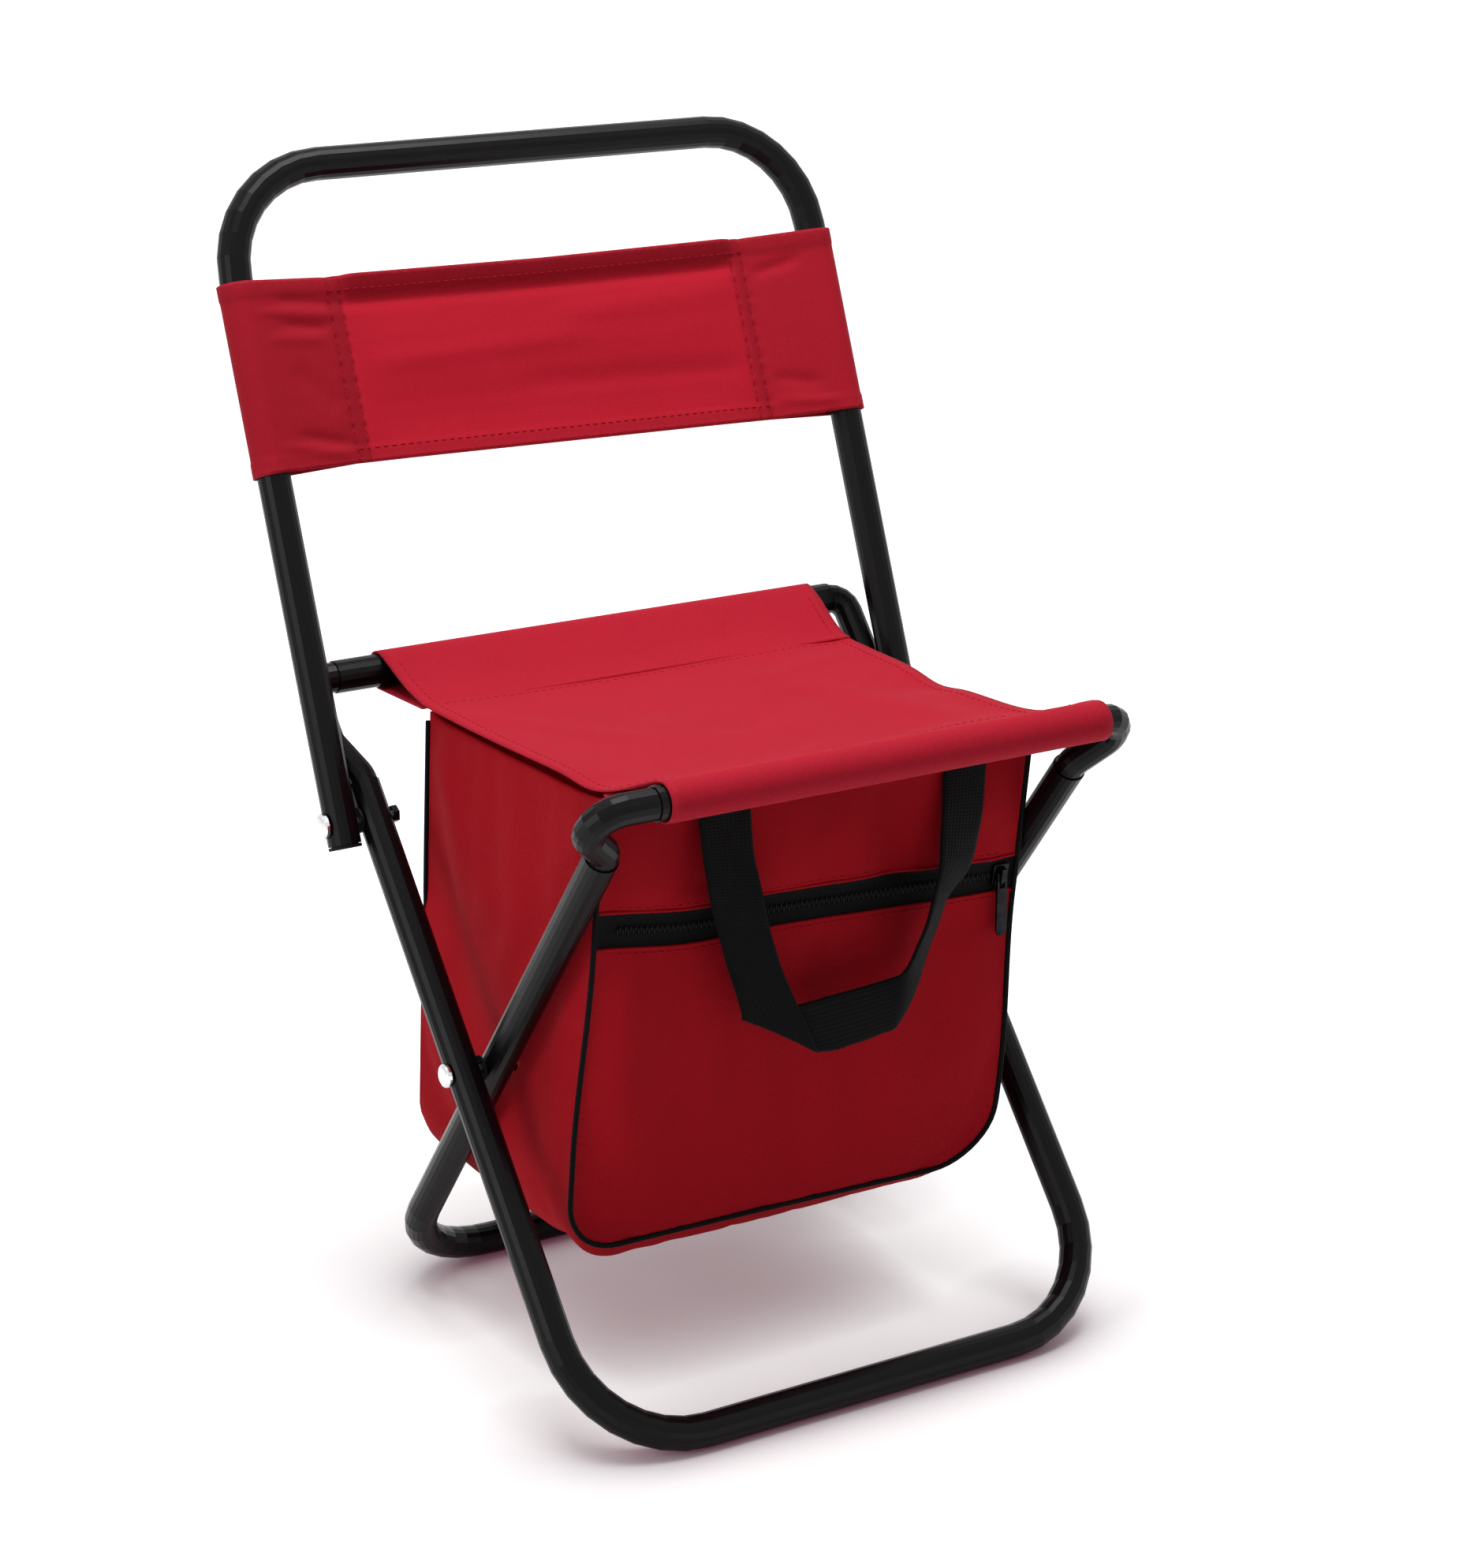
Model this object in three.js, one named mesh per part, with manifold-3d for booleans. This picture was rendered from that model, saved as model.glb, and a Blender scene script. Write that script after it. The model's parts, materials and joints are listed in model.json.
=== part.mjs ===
// Folding cooler stool: two crossing tube leg frames, a folding tube backrest with a cloth band,
// a cloth seat slung between the two seat rails and a zipped cooler bag sewn under the seat.
// Millimetres, +Z up, the front faces -Y, the floor is z = 0.

import * as THREE from 'three';
import { mergeVertices } from 'three/addons/utils/BufferGeometryUtils.js';
import Module from 'manifold-3d';

// Tubes and the gap left between neighbours
const TUBE_RADIUS = 8.5;
const TUBE_WALL = 1.2;
const PLUG_RADIUS = 7;
const ELBOW_RADIUS = 7.8;
const GAP = 0.3;

// Outer leg frame: from the front floor rail up to the rear seat rail
const OUTER = {
  halfWidth: 151,
  floor: { y: -168, z: TUBE_RADIUS },
  seat: { y: 103, z: 328 },
  corner: 60,
  legEnd: 60,
  legPlug: 14,
  railLeft: -147,
  railRight: 151,
  shoulder: { halfWidth: 161, low: 55.6, high: 35, railBend: 9.6, bend: 12 },
};

// Inner leg frame: from the rear floor rail up to the front seat rail
const INNER = {
  halfWidth: 132.2,
  floor: { y: 82, z: TUBE_RADIUS },
  seat: { y: -170, z: 330 },
  corner: 55,
  legEnd: 38,
  legPlug: 26,
  railLeft: -118,
  railRight: 130,
  shoulder: { halfWidth: 146.5, low: 33.5, high: 17.5, railBend: 13, bend: 9.5 },
};
const RAIL_PLUG = 26;

// Backrest: a U of tube that turns on a bolt through each outer leg
const BACK_HALF_WIDTH = 169.8;
const BACK_PIVOT_HEIGHT = 268;
const BACK_LEAN = THREE.MathUtils.degToRad(21.15);
const BACK_LENGTH = 331.5;
const BACK_TAIL = 11;
const BACK_CORNER = 55;
const PLUG_DEPTH = 5;
const PLUG_FLANGE = 1.6;

// Backrest band: two layers of cloth, sleeves round the tubes
const CLOTH = 1.5;
const BAND_LOW = 174;
const BAND_HEIGHT = 100;
const BAND_SEAM = 123;
const BAND_HALF_THICK = 1.6;

// Bolts and rivets
const PIN_RADIUS = 2.5;
const HOLE_RADIUS = 2.8;
const BOLT_HEAD = { radius: 6.5, height: 4 };
const RIVET_HEAD = { radius: 6, height: 3.4 };
const RIVET_TAIL = { radius: 5, height: 1.4 };
const SPACER_RADIUS = 6.5;
const NUT_ACROSS_FLATS = 8;
const NUT_HEIGHT = 3.2;
const BOLT_PAST_NUT = 0.6;

// Seat cloth: [y, z] of its upper face between the rails and [y, x] of its side edges, rear to front
const SEAT_DIP = [[76, 328.6], [52, 322.4], [0, 321.8], [-60, 322.6], [-122, 325]];
const SEAT_REAR_SEAM = 54;
const SEAT_FRONT_SEAM = -127;
const SEAT_LEFT = [[103, -122.4], [-105, -121.2], [-150, -115], [-170, -113.5]];
const SEAT_RIGHT = [[103, 139.5], [45, 133.5], [-40, 127.5], [-90, 128], [-150, 131.5], [-170, 133]];

// Cooler bag: a box with rounded lower corners, whose front and back hang towards the rear
const BAG_HALF_WIDTH = 121;
const BAG_FRONT = -127;
const BAG_BACK = 53;
const BAG_BOTTOM = 77;
const BAG_CORNER = 32;
const BAG_FRONT_SLOPE = 0.14;
const BAG_BACK_SLOPE = 0.09;
const BAG_SLOPE_ORIGIN = 322;
const BAG_WALL = 2.4;
const PIPING_RADIUS = 2;
const LINING = 3;
const ZIP_CENTRE = 245.5;
const ZIP_HEIGHT = 18;
const ZIP_TOP = ZIP_CENTRE + ZIP_HEIGHT / 2;
const ZIP_BOTTOM = ZIP_CENTRE - ZIP_HEIGHT / 2;
const ZIP_SLANT = THREE.MathUtils.degToRad(3.2);
const TAPE_HEIGHT = 6;
const TAPE_THICK = 0.9;
const COIL_THICK = 2;
const COIL_PITCH = 5;
const COIL_STEP = 1.2;
const ZIP_HALF_LENGTH = 117.5;
const SLIDER_AT = 113;

// Carry handle: a flat loop of webbing hanging from the seam under the front rail
const HANDLE_LEFT = -56;
const HANDLE_RIGHT = 84;
const HANDLE_WIDTH = 25;
const HANDLE_THICK = 1.8;
const HANDLE_TOP = 317;
const HANDLE_LOW = 168;
const HANDLE_Y = -128.2;
const HANDLE_CORNER = 46;

const SIDES = [['left', -1], ['right', 1]];
const wasm = await Module();
wasm.setup();
const stool = new THREE.Group();
stool.name = 'folding_cooler_stool';

const FINISH = {
  tube: { color: 0x1c1a1d, roughness: 0.36, metalness: 0.35 },
  chrome: { color: 0xc9c9cc, roughness: 0.2, metalness: 1 },
  darkSteel: { color: 0x2b2a2c, roughness: 0.4, metalness: 0.8 },
  plastic: { color: 0x141315, roughness: 0.5, metalness: 0 },
  redCloth: { color: 0xb4202f, roughness: 0.85, metalness: 0 },
  blackCloth: { color: 0x161416, roughness: 0.85, metalness: 0 },
  foil: { color: 0xb9bcc0, roughness: 0.35, metalness: 0.6 },
};

function addPart(name, geometry, finish) {
  const plain = geometry.index ? geometry.toNonIndexed() : geometry.clone();
  plain.deleteAttribute('uv');
  plain.computeVertexNormals();
  const mesh = new THREE.Mesh(plain, new THREE.MeshStandardMaterial(FINISH[finish]));
  mesh.name = name;
  stool.add(mesh);
}

// Solids for cutting

function toSolid(geometry) {
  const plain = geometry.clone();
  plain.deleteAttribute('normal');
  plain.deleteAttribute('uv');
  const merged = mergeVertices(plain, 1e-4);
  return new wasm.Manifold(new wasm.Mesh({
    numProp: 3,
    vertProperties: new Float32Array(merged.attributes.position.array),
    triVerts: new Uint32Array(merged.index.array),
  }));
}

function fromSolid(solid) {
  const mesh = solid.getMesh();
  const geometry = new THREE.BufferGeometry();
  const position = new Float32Array(mesh.vertProperties);
  geometry.setAttribute('position', new THREE.BufferAttribute(position, mesh.numProp));
  geometry.setIndex(new THREE.BufferAttribute(new Uint32Array(mesh.triVerts), 1));
  return geometry;
}

function cut(geometry, ...tools) {
  let solid = toSolid(geometry);
  for (const tool of tools) solid = solid.subtract(toSolid(tool));
  return fromSolid(solid);
}

function crossPin(radius, y, z) {
  const pin = new THREE.CylinderGeometry(radius, radius, 500, 20);
  pin.rotateZ(Math.PI / 2);
  pin.translate(0, y, z);
  return pin;
}

// Tubes and rods swept along filleted lines

class StationCurve extends THREE.Curve {
  constructor(stations) {
    super();
    this.stations = stations;
  }

  at(u) {
    return this.stations[Math.round(u * (this.stations.length - 1))];
  }

  getPoint(t) {
    return this.at(t).point.clone();
  }

  getPointAt(u) {
    return this.at(u).point.clone();
  }

  getTangentAt(u) {
    return this.at(u).tangent.clone();
  }
}

function filletStations(corners, radii, stepsPerBend) {
  const stations = [];
  const first = corners[1].clone().sub(corners[0]).normalize();
  stations.push({ point: corners[0].clone(), tangent: first });
  for (let i = 1; i < corners.length - 1; i += 1) {
    const inward = corners[i].clone().sub(corners[i - 1]).normalize();
    const outward = corners[i + 1].clone().sub(corners[i]).normalize();
    const turn = inward.angleTo(outward);
    const radius = radii[i - 1];
    const start = corners[i].clone().addScaledVector(inward, -radius * Math.tan(turn / 2));
    const side = outward.clone().addScaledVector(inward, -outward.dot(inward)).normalize();
    for (let k = 0; k <= stepsPerBend; k += 1) {
      const angle = (turn * k) / stepsPerBend;
      const point = start.clone()
        .addScaledVector(inward, radius * Math.sin(angle))
        .addScaledVector(side, radius * (1 - Math.cos(angle)));
      const tangent = inward.clone().multiplyScalar(Math.cos(angle))
        .addScaledVector(side, Math.sin(angle));
      stations.push({ point, tangent });
    }
  }
  const end = corners[corners.length - 1].clone();
  const last = end.clone().sub(corners[corners.length - 2]).normalize();
  stations.push({ point: end, tangent: last });
  return stations;
}

function ring(radius, bore = 0) {
  const shape = new THREE.Shape();
  shape.absarc(0, 0, radius, 0, Math.PI * 2, false);
  if (bore > 0) {
    const hole = new THREE.Path();
    hole.absarc(0, 0, bore, 0, Math.PI * 2, true);
    shape.holes.push(hole);
  }
  return shape;
}

function sweep(shape, stations, sides) {
  return new THREE.ExtrudeGeometry(shape, {
    steps: stations.length - 1,
    extrudePath: new StationCurve(stations),
    bevelEnabled: false,
    curveSegments: sides / 2,
  });
}

const tubeSection = ring(TUBE_RADIUS, TUBE_RADIUS - TUBE_WALL);

function straightTube(x0, x1, y, z) {
  const stations = filletStations([new THREE.Vector3(x0, y, z), new THREE.Vector3(x1, y, z)], [], 1);
  return sweep(tubeSection, stations, 20);
}

function legDirection(frame) {
  return new THREE.Vector3(0, frame.seat.y - frame.floor.y, frame.seat.z - frame.floor.z).normalize();
}

// Point on a leg's centre line, a distance below the seat rail's axis
function legPoint(frame, x, below) {
  const up = legDirection(frame);
  return new THREE.Vector3(x, frame.seat.y - up.y * below, frame.seat.z - up.z * below);
}

// Where the two leg lines cross, seen from the side
function crossingPoint() {
  const a = legDirection(OUTER);
  const b = legDirection(INNER);
  const dy = INNER.floor.y - OUTER.floor.y;
  const dz = INNER.floor.z - OUTER.floor.z;
  const along = (dy * b.z - dz * b.y) / (a.y * b.z - a.z * b.y);
  return { y: OUTER.floor.y + a.y * along, z: OUTER.floor.z + a.z * along };
}

const crossing = crossingPoint();
const outerRise = legDirection(OUTER);
const backPivot = {
  y: OUTER.floor.y + ((BACK_PIVOT_HEIGHT - OUTER.floor.z) * outerRise.y) / outerRise.z,
  z: BACK_PIVOT_HEIGHT,
};

// Leg frames

function legFrame(frame, pins) {
  const w = frame.halfWidth;
  const corners = [
    legPoint(frame, w, frame.legEnd),
    new THREE.Vector3(w, frame.floor.y, frame.floor.z),
    new THREE.Vector3(-w, frame.floor.y, frame.floor.z),
    legPoint(frame, -w, frame.legEnd),
  ];
  const tube = sweep(tubeSection, filletStations(corners, [frame.corner, frame.corner], 8), 20);
  return cut(tube, ...pins);
}

// Rod from a point on the leg's line, over the shoulder and into the rail's line
function elbowRod(frame, side, radius, legFrom, railTo) {
  const s = frame.shoulder;
  const corners = [
    legPoint(frame, side * frame.halfWidth, legFrom),
    legPoint(frame, side * frame.halfWidth, s.low),
    legPoint(frame, side * s.halfWidth, s.high),
    legPoint(frame, side * s.halfWidth, 0),
    legPoint(frame, railTo, 0),
  ];
  return sweep(ring(radius), filletStations(corners, [s.bend, s.bend, s.railBend], 4), 16);
}

// Elbow: a bent body between leg and rail, with a thinner plug in the end of each
function elbow(frame, side) {
  const railEnd = side < 0 ? frame.railLeft : frame.railRight;
  const plugs = elbowRod(frame, side, PLUG_RADIUS, frame.legEnd + frame.legPlug, railEnd - side * RAIL_PLUG);
  const body = elbowRod(frame, side, ELBOW_RADIUS, frame.legEnd - GAP, railEnd + side * GAP);
  return fromSolid(toSolid(plugs).add(toSolid(body)));
}

function addLegFrame(prefix, railName, frameName, frame, pins) {
  addPart(frameName, legFrame(frame, pins), 'tube');
  addPart(railName, straightTube(frame.railLeft, frame.railRight, frame.seat.y, frame.seat.z), 'tube');
  for (const [label, side] of SIDES) addPart(`${prefix}_elbow_${label}`, elbow(frame, side), 'tube');
}

const crossHole = crossPin(HOLE_RADIUS, crossing.y, crossing.z);
const backHole = crossPin(HOLE_RADIUS, backPivot.y, backPivot.z);
addLegFrame('rear', 'rear_seat_rail', 'outer_leg_frame', OUTER, [crossHole, backHole]);
addLegFrame('front', 'front_seat_rail', 'inner_leg_frame', INNER, [crossHole]);

// Backrest frame and its end plugs

function backPoint(x, along, forward = 0) {
  const s = Math.sin(BACK_LEAN);
  const c = Math.cos(BACK_LEAN);
  return new THREE.Vector3(x, backPivot.y + s * along - c * forward, backPivot.z + c * along + s * forward);
}

function backrestFrame() {
  const w = BACK_HALF_WIDTH;
  const corners = [
    backPoint(w, -BACK_TAIL),
    backPoint(w, BACK_LENGTH),
    backPoint(-w, BACK_LENGTH),
    backPoint(-w, -BACK_TAIL),
  ];
  const tube = sweep(tubeSection, filletStations(corners, [BACK_CORNER, BACK_CORNER], 8), 20);
  return cut(tube, backHole);
}

function endPlug(side) {
  const bore = TUBE_RADIUS - TUBE_WALL - GAP;
  const plugLow = -BACK_TAIL - GAP - PLUG_FLANGE;
  const profile = [
    [0, plugLow],
    [TUBE_RADIUS, plugLow],
    [TUBE_RADIUS, -BACK_TAIL - GAP],
    [bore, -BACK_TAIL - GAP],
    [bore, -BACK_TAIL + PLUG_DEPTH],
    [0, -BACK_TAIL + PLUG_DEPTH],
  ];
  const plug = new THREE.LatheGeometry(profile.map(([r, h]) => new THREE.Vector2(r, h)), 20);
  plug.rotateX(Math.PI / 2 - BACK_LEAN);
  plug.translate(side * BACK_HALF_WIDTH, backPivot.y, backPivot.z);
  return plug;
}

addPart('backrest_frame', backrestFrame(), 'tube');
for (const [label, side] of SIDES) addPart(`backrest_end_plug_${label}`, endPlug(side), 'plastic');

// Fixings, turned about X

function turned(profile, side, y, z, segments = 20) {
  const points = profile.map(([r, x]) => new THREE.Vector2(r, x));
  const piece = new THREE.LatheGeometry(points, segments);
  piece.rotateZ(-Math.PI / 2);
  if (side < 0) piece.rotateY(Math.PI);
  piece.translate(0, y, z);
  return piece;
}

function domedHead(head, seatX) {
  const points = [];
  for (let k = 0; k <= 4; k += 1) {
    const angle = (Math.PI / 2) * (k / 4);
    points.push([head.radius * Math.cos(angle), seatX + head.height * (0.35 + 0.65 * Math.sin(angle))]);
  }
  points[4][0] = 0;
  return [[head.radius, seatX], ...points];
}

const innerFaceOfOuter = OUTER.halfWidth - TUBE_RADIUS;
const outerFaceOfOuter = OUTER.halfWidth + TUBE_RADIUS;
const innerFaceOfInner = INNER.halfWidth - TUBE_RADIUS;
const outerFaceOfInner = INNER.halfWidth + TUBE_RADIUS;
const innerFaceOfBack = BACK_HALF_WIDTH - TUBE_RADIUS;
const outerFaceOfBack = BACK_HALF_WIDTH + TUBE_RADIUS;

function backrestBolt(side) {
  const tip = innerFaceOfOuter - GAP - NUT_HEIGHT - BOLT_PAST_NUT;
  const head = domedHead(BOLT_HEAD, outerFaceOfBack + GAP);
  const profile = [[0, tip], [PIN_RADIUS, tip], [PIN_RADIUS, outerFaceOfBack + GAP], ...head];
  return turned(profile, side, backPivot.y, backPivot.z);
}

function legRivet(side) {
  const tail = innerFaceOfInner - GAP - RIVET_TAIL.height;
  const head = domedHead(RIVET_HEAD, outerFaceOfOuter + GAP);
  const profile = [
    [0, tail],
    [RIVET_TAIL.radius, tail],
    [RIVET_TAIL.radius, tail + RIVET_TAIL.height],
    [PIN_RADIUS, tail + RIVET_TAIL.height],
    [PIN_RADIUS, outerFaceOfOuter + GAP],
    ...head,
  ];
  return turned(profile, side, crossing.y, crossing.z);
}

function spacer(side, x0, x1, at) {
  const profile = [
    [HOLE_RADIUS, x0 + GAP],
    [SPACER_RADIUS, x0 + GAP],
    [SPACER_RADIUS, x1 - GAP],
    [HOLE_RADIUS, x1 - GAP],
    [HOLE_RADIUS, x0 + GAP],
  ];
  return turned(profile, side, at.y, at.z);
}

function nut(side) {
  const shape = new THREE.Shape();
  for (let k = 0; k < 6; k += 1) {
    const angle = (Math.PI / 3) * k;
    const r = NUT_ACROSS_FLATS / Math.sqrt(3);
    if (k === 0) shape.moveTo(r * Math.cos(angle), r * Math.sin(angle));
    else shape.lineTo(r * Math.cos(angle), r * Math.sin(angle));
  }
  const hole = new THREE.Path();
  hole.absarc(0, 0, HOLE_RADIUS, 0, Math.PI * 2, true);
  shape.holes.push(hole);
  const piece = new THREE.ExtrudeGeometry(shape, {
    depth: NUT_HEIGHT,
    bevelEnabled: false,
    curveSegments: 10,
  });
  piece.rotateY(Math.PI / 2);
  const x = side < 0 ? -innerFaceOfOuter + GAP : innerFaceOfOuter - GAP - NUT_HEIGHT;
  piece.translate(x, backPivot.y, backPivot.z);
  return piece;
}

for (const [label, side] of SIDES) {
  addPart(`backrest_bolt_${label}`, backrestBolt(side), 'chrome');
  const backSpacer = spacer(side, outerFaceOfOuter, innerFaceOfBack, backPivot);
  const legSpacer = spacer(side, outerFaceOfInner, innerFaceOfOuter, crossing);
  addPart(`backrest_spacer_${label}`, backSpacer, 'plastic');
  addPart(`backrest_nut_${label}`, nut(side), 'darkSteel');
  addPart(`leg_rivet_${label}`, legRivet(side), 'chrome');
  addPart(`leg_spacer_${label}`, legSpacer, 'plastic');
}

// Cloth sections drawn as closed outlines

function outline(points) {
  const shape = new THREE.Shape();
  points.forEach(([u, v], i) => (i === 0 ? shape.moveTo(u, v) : shape.lineTo(u, v)));
  shape.closePath();
  return shape;
}

function arcPoints(cu, cv, radius, from, to, steps) {
  const points = [];
  for (let k = 0; k <= steps; k += 1) {
    const angle = from + ((to - from) * k) / steps;
    points.push([cu + radius * Math.cos(angle), cv + radius * Math.sin(angle)]);
  }
  return points;
}

// Backrest band: section across the tubes, drawn out along them

function bandHalf(radius, tip, tipHalf, steps) {
  const lean = Math.asin((radius - tipHalf) / (BACK_HALF_WIDTH - tip));
  const from = -Math.PI / 2 - lean;
  const to = Math.PI / 2 + lean;
  return arcPoints(BACK_HALF_WIDTH, 0, radius, from, to, steps);
}

function backrestBand() {
  const outer = TUBE_RADIUS + GAP + CLOTH;
  const right = [[BAND_SEAM, -BAND_HALF_THICK], ...bandHalf(outer, BAND_SEAM, BAND_HALF_THICK, 12),
    [BAND_SEAM, BAND_HALF_THICK]];
  const left = right.map(([u, v]) => [-u, -v]);
  const shape = outline([...right, ...left]);
  const tip = BAND_SEAM + 6;
  const rightHole = [[tip, 0], ...bandHalf(TUBE_RADIUS + GAP, tip, 0, 12)];
  const leftHole = rightHole.map(([u, v]) => [-u, -v]);
  shape.holes.push(outline(rightHole), outline(leftHole));
  const band = new THREE.ExtrudeGeometry(shape, { depth: BAND_HEIGHT, bevelEnabled: false });
  band.translate(0, 0, BAND_LOW);
  band.rotateX(-BACK_LEAN);
  band.translate(0, backPivot.y, backPivot.z);
  return band;
}

addPart('backrest_band', backrestBand(), 'redCloth');

// Seat cloth: section from front to rear, drawn out across the width

const sleeveOuter = TUBE_RADIUS + GAP + CLOTH;
const sleeveInner = TUBE_RADIUS + GAP;

function seatTopLine() {
  const rear = [OUTER.seat.y - 3, OUTER.seat.z + sleeveOuter - 0.48];
  const front = [INNER.seat.y + 2.4, INNER.seat.z + sleeveOuter - 0.3];
  const points = [rear, ...SEAT_DIP, front].map(([y, z]) => new THREE.Vector2(y, z));
  return new THREE.SplineCurve(points).getPoints(28).map((p) => [p.x, p.y]);
}

const seatTop = seatTopLine();

// Value at y on a line of [y, value] points that runs from rear to front
function valueAt(line, y) {
  for (let k = 0; k + 1 < line.length; k += 1) {
    const [y0, v0] = line[k];
    const [y1, v1] = line[k + 1];
    if (y <= y0 && y >= y1) return v0 + ((v1 - v0) * (y - y0)) / (y1 - y0);
  }
  return y > line[0][0] ? line[0][1] : line[line.length - 1][1];
}

function seatTopHeight(y) {
  return valueAt(seatTop, y);
}

function seatUnderside() {
  const inside = seatTop.filter(([y]) => y < SEAT_REAR_SEAM - 1 && y > SEAT_FRONT_SEAM + 1);
  const points = [SEAT_REAR_SEAM, ...inside.map(([y]) => y), SEAT_FRONT_SEAM];
  return points.map((y) => [y, seatTopHeight(y) - CLOTH]);
}

function seatOutline() {
  const rear = arcPoints(OUTER.seat.y, OUTER.seat.z, sleeveOuter, -Math.PI * 0.54, Math.PI * 0.6, 12);
  const front = arcPoints(INNER.seat.y, INNER.seat.z, sleeveOuter, Math.PI * 0.42, Math.PI * 1.46, 12);
  return [...rear, ...seatTop.slice(1, -1), ...front, ...seatUnderside().reverse()];
}

// Space inside a sleeve: round the rail, narrowing to a point just before the seam
function sleeveHole(frame, seamY, from, to) {
  const toward = Math.sign(seamY - frame.seat.y);
  const tipY = seamY - toward * 9;
  const tip = [tipY, seatTopHeight(tipY) - CLOTH * 1.25];
  return outline([tip, ...arcPoints(frame.seat.y, frame.seat.z, sleeveInner, from, to, 14)]);
}

function acrossX(shape, x0, x1) {
  const piece = new THREE.ExtrudeGeometry(shape, { depth: x1 - x0, bevelEnabled: false });
  piece.rotateX(Math.PI / 2);
  piece.rotateZ(Math.PI / 2);
  piece.translate(x0, 0, 0);
  return piece;
}

function seatCloth() {
  const shape = outline(seatOutline());
  shape.holes.push(sleeveHole(OUTER, SEAT_REAR_SEAM, -Math.PI * 0.56, Math.PI * 0.6));
  shape.holes.push(sleeveHole(INNER, SEAT_FRONT_SEAM, Math.PI * 0.42, Math.PI * 1.48));
  const cloth = acrossX(shape, 0, 1);
  const position = cloth.attributes.position;
  for (let i = 0; i < position.count; i += 1) {
    const y = position.getY(i);
    position.setX(i, valueAt(position.getX(i) < 0.5 ? SEAT_LEFT : SEAT_RIGHT, y));
  }
  return cloth;
}

addPart('seat_cloth', seatCloth(), 'redCloth');

// Everything above the seat's underside, to trim the bag's upper edges
function aboveSeat(drop) {
  const under = seatUnderside().map(([y, z]) => [y, z - drop]);
  const rear = [[200, under[0][1] - 6], ...under.slice(0, 1)];
  const front = [[-200, under[under.length - 1][1] - 8]];
  return acrossX(outline([[200, 600], ...rear, ...under.slice(1), ...front, [-200, 600]]), -300, 300);
}

// Bag pieces are drawn upright and then leaned with the bag's slope

function bagSlope(y) {
  const depth = (y - BAG_FRONT) / (BAG_BACK - BAG_FRONT);
  return THREE.MathUtils.lerp(BAG_FRONT_SLOPE, BAG_BACK_SLOPE, depth);
}

function leaned(geometry) {
  const piece = geometry.clone();
  const position = piece.attributes.position;
  for (let i = 0; i < position.count; i += 1) {
    const y = position.getY(i);
    position.setY(i, y + bagSlope(y) * (BAG_SLOPE_ORIGIN - position.getZ(i)));
  }
  return piece;
}

// The zip runs downhill to the right
function slanted(geometry) {
  const turnedPiece = geometry.clone();
  turnedPiece.translate(0, 0, -ZIP_CENTRE);
  turnedPiece.rotateY(ZIP_SLANT);
  turnedPiece.translate(0, 0, ZIP_CENTRE);
  return turnedPiece;
}

// Front view of the bag drawn in by an amount from its outer face
function bagFrontView(inset, top) {
  const w = BAG_HALF_WIDTH - inset;
  const r = BAG_CORNER - inset;
  const low = BAG_BOTTOM + inset;
  return [
    [-w, top],
    ...arcPoints(-w + r, low + r, r, Math.PI, Math.PI * 1.5, 8),
    ...arcPoints(w - r, low + r, r, Math.PI * 1.5, Math.PI * 2, 8),
    [w, top],
  ];
}

function upright(shape, y0, y1) {
  const piece = new THREE.ExtrudeGeometry(shape, { depth: y1 - y0, bevelEnabled: false });
  piece.rotateX(Math.PI / 2);
  piece.translate(0, y1, 0);
  return piece;
}

function block(x0, x1, y0, y1, z0, z1) {
  const box = new THREE.BoxGeometry(x1 - x0, y1 - y0, z1 - z0);
  box.translate((x0 + x1) / 2, (y0 + y1) / 2, (z0 + z1) / 2);
  return box;
}

const TOP_STOCK = 345;
const panelInset = 2 * PIPING_RADIUS + GAP - 1;
const seamDepth = 2 * PIPING_RADIUS + GAP - 1;
const trimTop = aboveSeat(0.6);

function bagPanel(y0, y1, z0, z1) {
  const panel = toSolid(upright(outline(bagFrontView(panelInset, TOP_STOCK)), y0, y1));
  const slab = toSolid(slanted(block(-200, 200, y0 - 5, y1 + 5, z0, z1)));
  return cut(leaned(fromSolid(panel.intersect(slab))), trimTop);
}

function bagGusset() {
  const shape = outline([
    ...bagFrontView(0, TOP_STOCK),
    ...bagFrontView(BAG_WALL, TOP_STOCK).reverse(),
  ]);
  return cut(leaned(upright(shape, BAG_FRONT + seamDepth, BAG_BACK - seamDepth)), trimTop);
}

function bagPiping(y) {
  const w = BAG_HALF_WIDTH - PIPING_RADIUS + 1;
  const low = BAG_BOTTOM + PIPING_RADIUS - 1;
  const corners = [
    new THREE.Vector3(-w, y, TOP_STOCK),
    new THREE.Vector3(-w, y, low),
    new THREE.Vector3(w, y, low),
    new THREE.Vector3(w, y, TOP_STOCK),
  ];
  const stations = filletStations(corners, [BAG_CORNER - 1, BAG_CORNER - 1], 8);
  return cut(leaned(sweep(ring(PIPING_RADIUS), stations, 10)), trimTop);
}

function bagTop() {
  const under = seatUnderside().filter(([y]) => y < BAG_BACK - 8 && y > BAG_FRONT + 8);
  const above = under.map(([y, z]) => [y, z - 0.6]);
  const below = under.map(([y, z]) => [y, z - 0.6 - BAG_WALL]).reverse();
  const half = BAG_HALF_WIDTH - BAG_WALL - GAP;
  return acrossX(outline([...above, ...below]), -half, half);
}

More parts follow.
